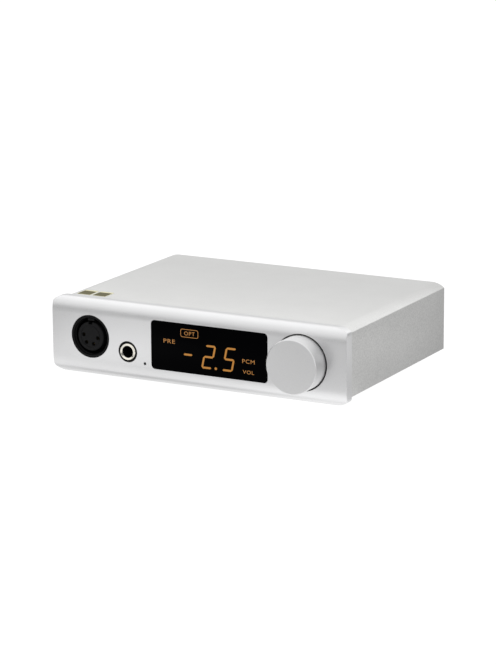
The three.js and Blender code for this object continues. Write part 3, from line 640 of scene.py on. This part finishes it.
def rear_plate():
    """The back panel with every socket's opening, slightly countersunk on the outside."""
    low, high = PANEL.low, PANEL.high
    chamfer = 2.2
    half = PANEL.size.x / 2
    outline = [(-half, low.z), (half, low.z), (half, high.z - chamfer), (half - chamfer, high.z),
               (-half + chamfer, high.z), (-half, high.z - chamfer)]
    near, far = low.y - 1, high.y
    cutters = []
    for name, radius, flare, count in (
            ("balanced_out_left", 12.1, 0.2, ROUND), ("balanced_out_right", 12.1, 0.2, ROUND),
            ("line_out_upper", 4.6, 0.15, SMALL_ROUND), ("line_out_lower", 4.6, 0.15, SMALL_ROUND),
            ("coax_socket", 4.6, 0.15, SMALL_ROUND)):
        spot = Spot(name)
        cutters.append(well(radius, near, far, spot.mid.x, spot.mid.z, flare, count, "back"))
    for name, width, height, corner in (
            ("optical_socket", 10.0, 9.8, 0.4), ("usb_socket", 12.4, 11.2, 0.6),
            ("rocker_frame", 13.0, 19.2, 0.5), ("power_inlet", 27.2, 20.0, 1.0)):
        spot = Spot(name)
        cutters.append(window_cutter(width, height, corner, near, far, spot.mid.x, spot.mid.z,
                                     0.12, "back"))
    for corner in CORNERS:
        spot = Spot(f"rear_screw_{corner}")
        cutters.append(well(1.5, near, far, spot.mid.x, spot.mid.z, 0.1, SMALL_ROUND, "back"))
    body = carved(soften(prism(outline, low.y, high.y), 0.2), *cutters)
    add("rear_plate", body, COVER_METAL, replaces="rear_panel")


def foot(name):
    """A rubber foot with a domed tread, two grip rings and its peg."""
    spot = Spot(name)
    radius, top = spot.size.x / 2, 5.45
    profile = [(0, 0.5), (3.2, 0.5), (3.6, 0), (4.6, 0), (4.9, 0.35), (5.3, 0.35), (5.6, 0),
               (radius - 1.0, 0), (radius - 0.2, 0.9), (radius, top), (2.0, top), (2.0, 7.6),
               (1.6, spot.high.z), (0, spot.high.z)]
    bm = turned(profile, (spot.mid.x, spot.mid.y, 0), 0.3, 64, axis="z")
    add(f"{name}_tread", bm, RUBBER, replaces=name)


def cross_recess(x, z, arm, half_slot, floor, top):
    """A cutter for the cross in a screw's head."""
    return joined(block((x - arm, floor, z - half_slot), (x + arm, top, z + half_slot)),
                  block((x - half_slot, floor, z - arm), (x + half_slot, top, z + arm)))


THREAD_PITCH = 0.5


def cross_screw(name, head_radius, head_height, shank_radius, reach):
    """A pan-head screw along y with a cross recess, its head outwards."""
    spot = Spot(name)
    x, z = spot.mid.x, spot.mid.z
    seat = spot.high.y - head_height
    tip = seat - reach
    profile = [(0, tip), (shank_radius * 0.6, tip)]
    point, root = 0.3, shank_radius * 0.86
    for i in range(int((reach - 2 * point) / THREAD_PITCH)):
        y = tip + point + i * THREAD_PITCH
        profile += [(root, y), (shank_radius, y + THREAD_PITCH / 2)]
    wall = head_height * 0.45
    profile += [(shank_radius, seat), (head_radius, seat), (head_radius, seat + wall)]
    for u, v in arc(0, 0, 1, 0, 90, 6)[1:]:
        profile.append((head_radius * u, seat + wall + (head_height - wall) * v))
    profile[-1] = (0, spot.high.y)
    body = lathe(profile, (x, 0, z), SMALL_ROUND)
    recess = cross_recess(x, z, head_radius * 0.55, head_radius * 0.13,
                          spot.high.y - head_height * 0.6, spot.high.y + 1)
    add(f"{name}_threaded", carved(body, recess), STEEL, replaces=name)


def foil_label(name):
    """A plain foil label: a dark field with a narrow pale border and a wider band at the back."""
    spot = Spot(name)
    width, length = spot.size.x, spot.size.y
    z0, z1 = spot.low.z, spot.high.z

    def sheet(w, h, corner, low, high, y=0.0):
        outline = rounded_rectangle(w, h, corner, spot.mid.x, spot.mid.y + y, 5)
        return prism(outline, low, high, axis="z")

    add(f"{name}_sheet", sheet(width, length, 0.6, z0, z1), FOIL_CREAM, replaces=name)
    border, band = 0.25, 2.1
    field = sheet(width - 2 * border, length - border - band, 0.4, z1 - 0.02, z1 + 0.02,
                  (border - band) / 2)
    add(f"{name}_field", field, FOIL_OLIVE)


def housing():
    front_plate()
    cover()
    rear_plate()
    for end in ("front", "back"):
        for side in ("left", "right"):
            foot(f"foot_{end}_{side}")
    for corner in CORNERS:
        cross_screw(f"rear_screw_{corner}", 2.7, 1.7, 1.2, 8.6)
    for name in ("foil_label_outer", "foil_label_inner"):
        foil_label(name)


# ---------------------------------------------------------------- display

LIT = FRONT - 0.02
LIT_DEPTH = 0.06
SEGMENT = 1.12  # width of a segment of a digit
SEGMENT_GAP = 0.6
SLANT = 0.21  # how far the digits lean to the right, for each millimetre of height
DIGIT_HEIGHT = 12.6
DIGIT_WIDTH = 5.7


def lit_shape(name, outline):
    """A thin lit shape on the face of the window."""
    add(name, prism(outline, LIT, LIT + LIT_DEPTH), AMBER)


def slanted(points, x, z):
    return [(x + u + SLANT * v, z + v) for u, v in points]


def segment_bar(length, upright):
    """One segment about its middle: a bar with pointed ends."""
    half, thick = length / 2, SEGMENT / 2
    bar = [(-half, 0), (-half + thick, -thick), (half - thick, -thick), (half, 0),
           (half - thick, thick), (-half + thick, thick)]
    return [(v, u) for u, v in reversed(bar)] if upright else bar


def digit(name, lit, x, z):
    """A seven-segment digit about its middle. lit names segments a to g, clockwise from the top."""
    w, h = DIGIT_WIDTH / 2, DIGIT_HEIGHT / 2
    places = {"a": (0, h, 0), "b": (w, h / 2, 1), "c": (w, -h / 2, 1), "d": (0, -h, 0),
              "e": (-w, -h / 2, 1), "f": (-w, h / 2, 1), "g": (0, 0, 0)}
    for key in lit:
        u, v, upright = places[key]
        length = (DIGIT_HEIGHT / 2 if upright else DIGIT_WIDTH) + SEGMENT * 0.6 - SEGMENT_GAP
        bar = [(u + a, v + b) for a, b in segment_bar(length, upright)]
        lit_shape(f"{name}_{key}", slanted(bar, x, z))


LETTER_SPACING = 1.14


def word(name, text, low, high):
    """A short generic word whose letters fill the box from low to high, as (x, z)."""
    curve = bpy.data.curves.new(name, "FONT")
    curve.body = text
    curve.size = 1
    curve.extrude = 0.5
    curve.resolution_u = 4
    curve.space_character = LETTER_SPACING
    source = bpy.data.objects.new(name, curve)
    bpy.context.scene.collection.objects.link(source)
    bpy.context.view_layer.update()
    graph = bpy.context.evaluated_depsgraph_get()
    bm = bmesh.new()
    bm.from_mesh(source.evaluated_get(graph).to_mesh())
    bpy.data.objects.remove(source)
    bpy.data.curves.remove(curve)
    bmesh.ops.remove_doubles(bm, verts=bm.verts, dist=1e-5)
    xs = [vert.co.x for vert in bm.verts]
    ys = [vert.co.y for vert in bm.verts]
    scale_x = (high[0] - low[0]) / (max(xs) - min(xs))
    scale_z = (high[1] - low[1]) / (max(ys) - min(ys))
    for vert in bm.verts:
        u, v, w = vert.co
        vert.co = (low[0] + (u - min(xs)) * scale_x, LIT + (0.5 - w) * LIT_DEPTH,
                   low[1] + (v - min(ys)) * scale_z)
    bmesh.ops.recalc_face_normals(bm, faces=bm.faces)
    add(name, bm, AMBER_DIM)


def frame_line(name, low, high, corner, width):
    """A thin rounded box drawn as a lit line."""
    x, z = (low[0] + high[0]) / 2, (low[1] + high[1]) / 2
    outer = rounded_rectangle(high[0] - low[0], high[1] - low[1], corner, x, z)
    inner = rounded_rectangle(high[0] - low[0] - 2 * width, high[1] - low[1] - 2 * width,
                              corner - width, x, z)
    bm = bmesh.new()
    rows = []
    near, far = LIT, LIT + LIT_DEPTH
    for outline, y in ((outer, near), (outer, far), (inner, far), (inner, near)):
        rows.append([bm.verts.new((u, y, v)) for u, v in outline])
    skin(bm, rows + rows[:1])
    bmesh.ops.recalc_face_normals(bm, faces=bm.faces)
    add(name, bm, AMBER_DIM)


def display():
    glass = slab(WINDOW.size.x, WINDOW.size.z, 2.3, WINDOW.low.y, WINDOW.high.y,
                 WINDOW.mid.x, WINDOW.mid.z, 0.12)
    add("display_glass", glass, GLOSS, replaces="display_window")
    base = PLATE.low.z
    digit("digit_units", "abged", 8.3, base + 18.9)  # a two
    digit("digit_tenths", "afgcd", 21.3, base + 18.9)  # a five
    lit_shape("minus_sign", slanted(segment_bar(5.5, False), -4.8, base + 18.8))
    lit_shape("decimal_point", arc(12.8, base + 12.8, 0.75, 0, 345, 23))
    word("word_pre", "PRE", (-20.4, base + 24.1), (-13.1, base + 26.4))
    word("word_input", "OPT", (-7.1, base + 29.8), (-0.4, base + 32.0))
    frame_line("input_frame", (-9.5, base + 28.6), (1.8, base + 33.3), 1.2, 0.3)
    word("word_pcm", "PCM", (29.5, base + 18.0), (37.2, base + 20.3))
    word("word_vol", "VOL", (29.8, base + 12.0), (36.8, base + 14.1))


# ---------------------------------------------------------------- front sockets and knob

CONTACT_CIRCLE = 4.65
CONTACT_ANGLES = (172, 232, 292, 352)
JACK_NECK = 5.9  # radius of the headphone jack's black neck
JACK_BORE = 3.5  # and of the bore in its bright bush


def balanced_jack():
    shell, insert = Spot("balanced_jack_shell"), Spot("balanced_jack_insert")
    x, z = shell.mid.x, shell.mid.z
    rim, bore = shell.size.x / 2, 10.9
    profile = [(0, 14.1), (bore - 0.5, 14.1), (bore - 0.5, 2.2), (bore, 1.8), (bore, 0.5),
               (bore + 0.5, 0.02), (rim, 0.02), (rim, 9), (11, 9), (11, 24), (0, 24)]
    body = turned([(r, FRONT + y) for r, y in profile], (x, 0, z), 0.18)
    latch = block((x - 2.2, FRONT + 1.4, z + 8.9), (x + 2.2, FRONT + 9, z + 10.6))
    add("balanced_jack_can", joined(body, soften(latch, 0.2)), BLACK,
        replaces="balanced_jack_shell")
    face = insert.low.y + 0.25
    profile = [(0, face), (7.9, face), (8.4, face + 0.5), (8.4, FRONT + 12), (10.2, FRONT + 12),
               (10.2, FRONT + 14), (0, FRONT + 14)]
    body = turned(profile, (x, 0, z), 0.2)
    places = [(x + CONTACT_CIRCLE * math.cos(math.radians(angle)),
               z + CONTACT_CIRCLE * math.sin(math.radians(angle))) for angle in CONTACT_ANGLES]
    holes = [well(1.1, face, FRONT + 10, u, v, 0.3, SMALL_ROUND) for u, v in places]
    key = soften(block((x - 1.3, FRONT - 1, z + 6.9), (x + 1.3, FRONT + 11, z + 9.5)), 0.15)
    groove = lathe(sleeve(6.0, 6.35, face - 1, face + 0.25), (x, 0, z))
    add("balanced_jack_core", carved(body, *holes, key, groove), INSERT_BLACK,
        replaces="balanced_jack_insert")
    for i, (u, v) in enumerate(places):
        contact = sleeve(0.75, 1.05, face + 3, FRONT + 9.5)
        add(f"balanced_contact_{i + 1}", lathe(contact, (u, 0, v), 24), GOLD)


def headphone_jack():
    body, collar = Spot("headphone_jack_body"), Spot("headphone_jack_collar")
    x, z = collar.mid.x, collar.mid.z
    front = FRONT
    nose = turned(sleeve(5.05, JACK_NECK, front + 0.02, front + 8), (x, 0, z), 0.15)
    box = slab(body.size.x, body.size.z, 0.8, front + 7.6, body.high.y, x, z, 0.5)
    bore = lathe(rod(JACK_BORE - 0.2, front + 5, front + 36), (x, 0, z))
    add("headphone_jack_housing", joined(nose, carved(box, bore)), BLACK,
        replaces="headphone_jack_body")
    bush = [(4.45, collar.low.y), (4.6, collar.low.y + 0.1), (5.0, front + 0.25),
            (5.0, front + 7.2), (JACK_BORE, front + 7.2), (JACK_BORE, front - 0.05)]
    add("headphone_jack_bush", turned(bush, (x, 0, z), 0.12), CHROME,
        replaces="headphone_jack_collar")
    inner, outer = JACK_BORE - 0.2, JACK_BORE - 0.01
    lining = [(inner, front + 0.2), (outer, front + 0.15), (outer, front + 7), (inner, front + 7)]
    add("headphone_jack_lining", lathe(lining, (x, 0, z)), BLACK)


def status_light():
    spot = Spot("status_light_pipe")
    radius = spot.size.z / 2
    profile = [(0, FRONT + 0.3), (radius * 0.7, FRONT + 0.35), (radius, FRONT + 0.5),
               (radius, spot.high.y), (0, spot.high.y)]
    add("status_light", lathe(profile, (spot.mid.x, 0, spot.mid.z), SMALL_ROUND), SMOKE,
        replaces="status_light_pipe")


KNOB_ROUND = 160


def volume_knob():
    """The solid knob, bored for its shaft and grub screw, and the black liner of its recess, which
    sits almost flush and so also paints the shade in the gap round the knob.
    """
    x, z = KNOB.mid.x, KNOB.mid.z
    radius, front, back = KNOB.size.x / 2, KNOB.low.y, KNOB.high.y
    chamfer = 0.4
    profile = [(0, front), (radius - chamfer, front), (radius, front + chamfer), (radius, back),
               (9, back), (9, back - 3.5), (3.05, back - 3.5), (3.05, front + 3), (0, front + 3)]
    body = lathe(filleted(profile, 0.08, 3), (x, 0, z), KNOB_ROUND)
    grub = Spot("knob_grub_screw")
    hole = lathe(rod(1.6, -20, -2.6), (x, grub.mid.y, z), 24, axis="z")
    add("knob_cap", carved(body, hole), KNOB_METAL, body="knob", replaces="volume_knob")
    ring = Spot("knob_ring")
    outer, inner = ring.size.x / 2, ring.size.x / 2 - 0.45
    # painted shade: the liner's black face sits near the front of the recess and fills the gap
    # round the knob, where shade falls
    face = FRONT + 0.35
    liner_and_gap_shade = turned(sleeve(inner, outer, face, ring.high.y), (x, 0, z), 0.1, KNOB_ROUND)
    add("knob_liner", liner_and_gap_shade, BLACK, replaces="knob_ring")


def front_controls():
    display()
    balanced_jack()
    headphone_jack()
    status_light()
    volume_knob()


# ---------------------------------------------------------------- back sockets

def balanced_out(name):
    """A square-flanged output: shell, black floor, three pins and two fixing screws."""
    spot = Spot(name)
    x, z = spot.mid.x, spot.mid.z
    face = PANEL_FACE
    flange = slab(spot.size.x, spot.size.z, 2.5, face + 0.05, face + 1.85, x, z, 0.35)
    can = lathe(rod(11.9, spot.low.y, face + 1), (x, 0, z))
    mouth = well(9.6, face - 13, face + 1.85, x, z, 0.5, mouth="back")
    add(f"{name}_shell", carved(joined(flange, can), mouth), DARK_STEEL, replaces=name)
    floor = turned(rod(9.5, face - 12.9, face - 11.6), (x, 0, z), 0.3)
    add(f"{name}_floor", floor, INSERT_BLACK)
    pin = [(0, face - 12), (1.2, face - 12), (1.2, face - 2.2), (0.85, face - 1.6),
           (0, face - 1.5)]
    for i, (u, v) in enumerate(((-3.4, 1.9), (3.4, 1.9), (0, -3.9))):
        add(f"{name}_pin_{i + 1}", lathe(pin, (x + u, 0, z + v), SMALL_ROUND), GOLD)
    seat = face + 1.9
    head = [(0, seat), (2.3, seat), (2.3, seat + 0.4), (1.6, seat + 1.0), (0, seat + 1.1)]
    for i, (u, v) in enumerate(((-9.5, 12.2), (9.5, -12.2))):
        body = turned(head, (x + u, 0, z + v), 0.15, SMALL_ROUND)
        recess = cross_recess(x + u, z + v, 1.1, 0.25, seat + 0.3, seat + 2.1)
        add(f"{name}_screw_{i + 1}", carved(body, recess), STEEL)


def phono(name, core):
    """A gold phono barrel with a coloured insulator and its nut on the panel."""
    spot = Spot(name)
    x, z = spot.mid.x, spot.mid.z
    face, end = PANEL_FACE, spot.high.y
    barrel = [(3.3, face + 0.5), (5.3, face + 0.05), (5.3, face + 1.6), (4.15, face + 1.9),
              (4.15, end - 0.4), (3.9, end), (3.3, end)]
    add(f"{name}_barrel", turned(barrel, (x, 0, z), 0.12, 64), GOLD, replaces=name)
    insulator = turned(sleeve(1.65, 3.25, face + 0.4, end - 0.15), (x, 0, z), 0.12, 64)
    add(f"{name}_insulator", insulator, core)
    body = slab(10, 10.8, 0.6, spot.low.y, face - 2.2, x, z, 0.3)
    neck = lathe(rod(4.35, face - 3, face + 0.3), (x, 0, z), 64)
    add(f"{name}_base", joined(body, neck), core)


def usb():
    spot = Spot("usb_socket")
    x, z, face = spot.mid.x, spot.mid.z, PANEL_FACE
    shell = slab(spot.size.x, spot.size.z, 0.8, spot.low.y, spot.high.y, x, z, 0.2)
    mouth = [(-4.3, -3.9), (4.3, -3.9), (4.3, 2.4), (2.9, 3.9), (-2.9, 3.9), (-4.3, 2.4)]
    mouth = filleted([(x + u, z + v) for u, v in mouth], 0.4, 3, closed=True)
    add("usb_shell", carved(shell, prism(mouth, face - 9, face + 2)), STEEL, replaces="usb_socket")
    add("usb_tongue", slab(5.6, 3.2, 0.3, face - 9.5, face - 1, x, z, 0.25), WHITE)


def optical():
    spot, flap = Spot("optical_socket"), Spot("optical_shutter")
    x, z, face = spot.mid.x, spot.mid.z, PANEL_FACE
    nose = slab(9.7, 9.6, 0.4, face - 4, spot.high.y, x, z, 0.2)
    rear = slab(13.4, 9.8, 0.6, spot.low.y, face - 2.3, x, z, 0.2)
    mouth = block((x - 3.9, face - 10, z - 3.9), (x + 3.9, face + 1, z + 3.9))
    hinge = (x, flap.mid.y, flap.high.z - 0.4)
    pivot_hole = lathe(rod(0.38, -5.5, 5.5), hinge, 20, axis="x")
    add("optical_housing", carved(joined(nose, rear), mouth, pivot_hole), BLACK,
        replaces="optical_socket")
    leaf = slab(7.4, flap.size.z, 0.3, flap.low.y, flap.high.y, x, flap.mid.z, 0.12)
    pin = lathe(rod(0.3, -4.5, 4.5), hinge, 20, axis="x")
    add("optical_flap", joined(leaf, pin), BLACK, body="shutter", replaces="optical_shutter")


ROCKER_TILT = 10  # at rest its upper half, which means on, is pressed in


def rocker_switch():
    spot = Spot("rocker_frame")
    x, z, face = spot.mid.x, spot.mid.z, PANEL_FACE
    pivot = face - 2.2
    bezel = slab(15, 21, 1.2, face + 0.05, face + 1.5, x, z, 0.35)
    well_body = block((x - 6.3, face - 12, z - 9.4), (x + 6.3, face + 0.5, z + 9.4))
    opening = block((x - 5.7, face - 10, z - 8.8), (x + 5.7, face + 3, z + 8.8))
    hole = lathe(rod(1.1, -7, 7), (x, pivot, z), 24, axis="x")
    body = soften(carved(joined(bezel, well_body), opening), 0.12, 1, 60)
    add("rocker_bezel", carved(body, hole), BLACK, replaces="rocker_frame")
    for i, v in enumerate((-5, 5)):
        blade = slab(6.3, 0.8, 0.2, face - 19, face - 11.8, x, z + v, 0.15)
        add(f"rocker_terminal_{i + 1}", blade, STEEL)
    tilt = Matrix.Rotation(math.radians(ROCKER_TILT), 3, "X")
    low, high, half = 3.4, 4.6, 7.8
    outline = [(-2, -7), (high, -half), (low, 0), (high, half), (-2, 7), (-5, 3), (-5, -3)]
    outline = filleted(outline, 0.5, 5, closed=True)
    paddle = soften(prism(outline, -5.5, 5.5, axis="x"), 0.3, 3, 50)
    paddle = joined(paddle, lathe(rod(1, -6.15, 6.15), (0, 0, 0), 24, axis="x"))
    ring = lathe(sleeve(1.2, 1.65, low - 0.2, low + 0.1), (0, 0, -4.3), SMALL_ROUND)
    stroke = block((-0.25, low - 0.2, 2.9), (0.25, low + 0.1, 5.7))
    slope = math.atan2(high - low, half)
    for mark, angle in ((ring, slope), (stroke, -slope)):
        bmesh.ops.rotate(mark, verts=mark.verts, cent=(0, low, 0),
                         matrix=Matrix.Rotation(angle, 3, "X"))
    for bm in (paddle, ring, stroke):
        bmesh.ops.rotate(bm, verts=bm.verts, matrix=tilt)
        bmesh.ops.translate(bm, verts=bm.verts, vec=(x, pivot, z))
    add("rocker_paddle", paddle, BLACK, body="rocker", replaces="power_rocker")
    add("mark_off", ring, WHITE, body="rocker")
    add("mark_on", stroke, WHITE, body="rocker")


def inlet():
    spot = Spot("power_inlet")
    x, z, face = spot.mid.x, spot.mid.z, PANEL_FACE
    bezel = slab(spot.size.x, spot.size.z, 2, face + 0.05, face + 1.8, x, z, 0.4)
    body = block((x - 13.4, face - 16, z - 9.8), (x + 13.4, face + 0.5, z + 9.8))
    mouth = [(-12, -8), (12, -8), (12, 3.5), (7.5, 8), (-7.5, 8), (-12, 3.5)]
    mouth = filleted([(x + u, z + v) for u, v in mouth], 1.0, 5, closed=True)
    add("inlet_body", carved(joined(bezel, body), prism(mouth, face - 13, face + 3)), BLACK,
        replaces="power_inlet")
    for i, (u, v) in enumerate(((-7, -2), (7, -2), (0, 2))):
        add(f"inlet_pin_{i + 1}", slab(2, 4, 0.3, face - 13.5, face - 3, x + u, z + v, 0.4), STEEL)


def back_sockets():
    balanced_out("balanced_out_left")
    balanced_out("balanced_out_right")
    phono("line_out_upper", WHITE)
    phono("line_out_lower", RED)
    phono("coax_socket", AMBER_PLASTIC)
    usb()
    optical()
    rocker_switch()
    inlet()


# ---------------------------------------------------------------- inside

def dress_inside():
    """Finishes for the CAD nodes that are shown as they are."""
    finishes = {
        "blasted_aluminium": COVER_METAL, "turned_aluminium": STEEL, "steel": STEEL,
        "chrome": CHROME, "brass": GOLD, "black_gloss": GLOSS, "black_plastic": BLACK,
        "rubber": RUBBER, "board": BOARD, "foil": FOIL_CREAM, "smoked_clear": SMOKE,
        "grey_ribbon": GREY,
    }
    for node, obj in frame["nodes"].items():
        if obj.hide_render:
            continue
        for slot in obj.material_slots:
            slot.link = "OBJECT"
            slot.material = finishes[SLOTS[node]]


# ---------------------------------------------------------------- stage

FLOOR_LIGHT = 0.5
FLOOR_POOLS = (  # middle, reach and gain of each pool of light on the floor, in metres
    ((-0.02, -0.14), (0.18, 0.14), 0.23),
    ((-0.12, -0.064), (0.07, 0.08), 0.26),
    ((-0.062, -0.120), (0.050, 0.022), 0.38),
    ((-0.085, -0.160), (0.055, 0.024), 0.36),
    ((0.10, -0.075), (0.05, 0.03), 0.24),
    ((0.05, -0.066), (0.115, 0.012), 0.43),
    ((-0.07, -0.068), (0.07, 0.012), 0.06),
    # painted contact shadow: this negative pool darkens a thin strip of floor at the foot of the
    # plate
    ((-0.02, -0.0642), (0.1, 0.001), -0.5),
    ((0.20, 0.05), (0.06, 0.06), 0.42),
)
FLOOR_HALF_WIDTH = 12
BRIGHT_SIDE = (-0.25, 0.97, 0)
EYE_LEVEL_LIGHT = (0.2, 0.765)  # away from the bright side, and towards it
EYE_LEVEL_TURN = (0.1, 0.95)  # cosines of the angle from the bright side: between them it changes
OVERHEAD_LIGHT = (1.09, 1.24)  # at the front, and at the back
OVERHEAD_TURN = (-0.4, 0.6)
OVERHEAD_START = (0.02, 0.34)  # sine of the height where it begins, front and back
OVERHEAD_FULL = (0.18, 0.6)  # and where it is full
PANELS = (  # direction, cosines of the angles from it where it begins and is full, and level
    ((0.88, -0.47, 0.1), (0.88, 0.98), 1.5),
    ((0.25, 0.85, 0.46), (0.93, 0.99), 1.35),
    ((0.44, -0.86, 0.26), (0.93, 0.985), 0.12),
)
KEY_PLACE = Vector((-0.9, -0.9, 1.3))  # metres
KEY_SIZE = (1.2, 0.8)
KEY_POWER = 1
CAMERA_AZIMUTH = 28.21
CAMERA_ELEVATION = 13.75
CAMERA_ROLL = -0.375
CAMERA_DISTANCE = 1.5363  # metres
CAMERA_TARGET = Vector((33.2, FRONT, 36.8))
CAMERA_LENS = 151.65
CAMERA_SENSOR = 36


def stage_floor():
    """White paper that glows in soft pools, for the metal to reflect. One pool takes light away: a
    painted shadow at the foot of the plate.

    The camera itself sees it burnt out to pure white, as in a cut-out product shot.
    """
    n = Finish("floor_paper")
    n.set(Roughness=0.9, Base_Color=(0.02, 0.02, 0.02, 1), Emission_Color=(1, 1, 1, 1))
    place = [n.part(n.coordinates, axis) for axis in "XY"]
    lit = FLOOR_LIGHT
    for middles, reaches, gain in FLOOR_POOLS:
        fades = []
        for along, middle, reach in zip(place, middles, reaches):
            away = n.maths("DIVIDE", n.maths("SUBTRACT", along, middle), reach)
            fades.append(n.maths("MULTIPLY", away, away))
        fade = n.maths("POWER", math.e, n.maths("MULTIPLY", n.maths("ADD", *fades), -1))
        lit = n.maths("ADD", n.maths("MULTIPLY", fade, gain), lit)
    paper = n.maths("MULTIPLY", lit, n.spread(n.noise(2, 3), 0.99, 1.01))
    is_seen = n.node("LightPath", "Is Camera Ray")
    n.set(Emission_Strength=n.maths("MAXIMUM", paper, is_seen))
    n.material.cycles.emission_sampling = "NONE"
    bm = bmesh.new()
    bmesh.ops.create_grid(bm, x_segments=2, y_segments=2, size=FLOOR_HALF_WIDTH)
    floor = as_object(bm, "floor")
    floor.data.materials.append(n.material)


def studio_world():
    """A soft studio: bright overhead and behind, dim at eye level in front, with three panels.

    Two panels are bright, at the right and behind. The third is the dark round the camera.
    """
    world = bpy.data.worlds.new("studio")
    n = Nodes(world, "Generated")

    def ramp(*values):
        return n.ramp(*values, "SMOOTHSTEP")

    bright_side = n.dot(n.coordinates, BRIGHT_SIDE)
    low = ramp(bright_side, *EYE_LEVEL_TURN, *EYE_LEVEL_LIGHT)
    start, full, overhead = [ramp(bright_side, *OVERHEAD_TURN, *pair)
                             for pair in (OVERHEAD_START, OVERHEAD_FULL, OVERHEAD_LIGHT)]
    light = ramp(n.part(n.coordinates, "Z"), start, full, low, overhead)
    for way, (edge, core), level in PANELS:
        light = ramp(n.dot(n.coordinates, way), edge, core, light, level)
    background = n.tree.nodes["Background"]
    n.feed(background.inputs["Color"], (1, 1, 1, 1))
    n.feed(background.inputs["Strength"], light)
    bpy.context.scene.world = world


def key_light():
    """A weak soft box at the upper left, aimed at the object's foot."""
    data = bpy.data.lights.new("key", "AREA")
    data.shape = "RECTANGLE"
    data.size, data.size_y = KEY_SIZE
    data.energy = KEY_POWER
    light = bpy.data.objects.new("key", data)
    light.location = KEY_PLACE
    light.rotation_euler = (-KEY_PLACE).to_track_quat("-Z", "Y").to_euler()
    bpy.context.scene.collection.objects.link(light)


def photo_camera():
    """The view: from the front right, a little above."""
    azimuth, elevation = math.radians(CAMERA_AZIMUTH), math.radians(CAMERA_ELEVATION)
    roll = math.radians(CAMERA_ROLL)
    back = Vector((math.sin(azimuth) * math.cos(elevation),
                   -math.cos(azimuth) * math.cos(elevation), math.sin(elevation)))
    right = Vector((math.cos(azimuth), math.sin(azimuth), 0))
    up = back.cross(right)
    turned_right = right * math.cos(roll) + up * math.sin(roll)
    turned_up = up * math.cos(roll) - right * math.sin(roll)
    data = bpy.data.cameras.new("camera")
    data.lens = CAMERA_LENS
    data.sensor_width = CAMERA_SENSOR
    data.clip_start = 0.05
    data.clip_end = 60
    camera = bpy.data.objects.new("camera", data)
    rotation = Matrix((turned_right, turned_up, back)).transposed().to_4x4()
    place = CAMERA_TARGET * MM + back * CAMERA_DISTANCE
    camera.matrix_world = Matrix.Translation(place) @ rotation
    bpy.context.scene.collection.objects.link(camera)
    bpy.context.scene.camera = camera


housing()
front_controls()
back_sockets()
dress_inside()
stage_floor()
studio_world()
key_light()
photo_camera()
bpy.context.scene.view_settings.view_transform = "Standard"
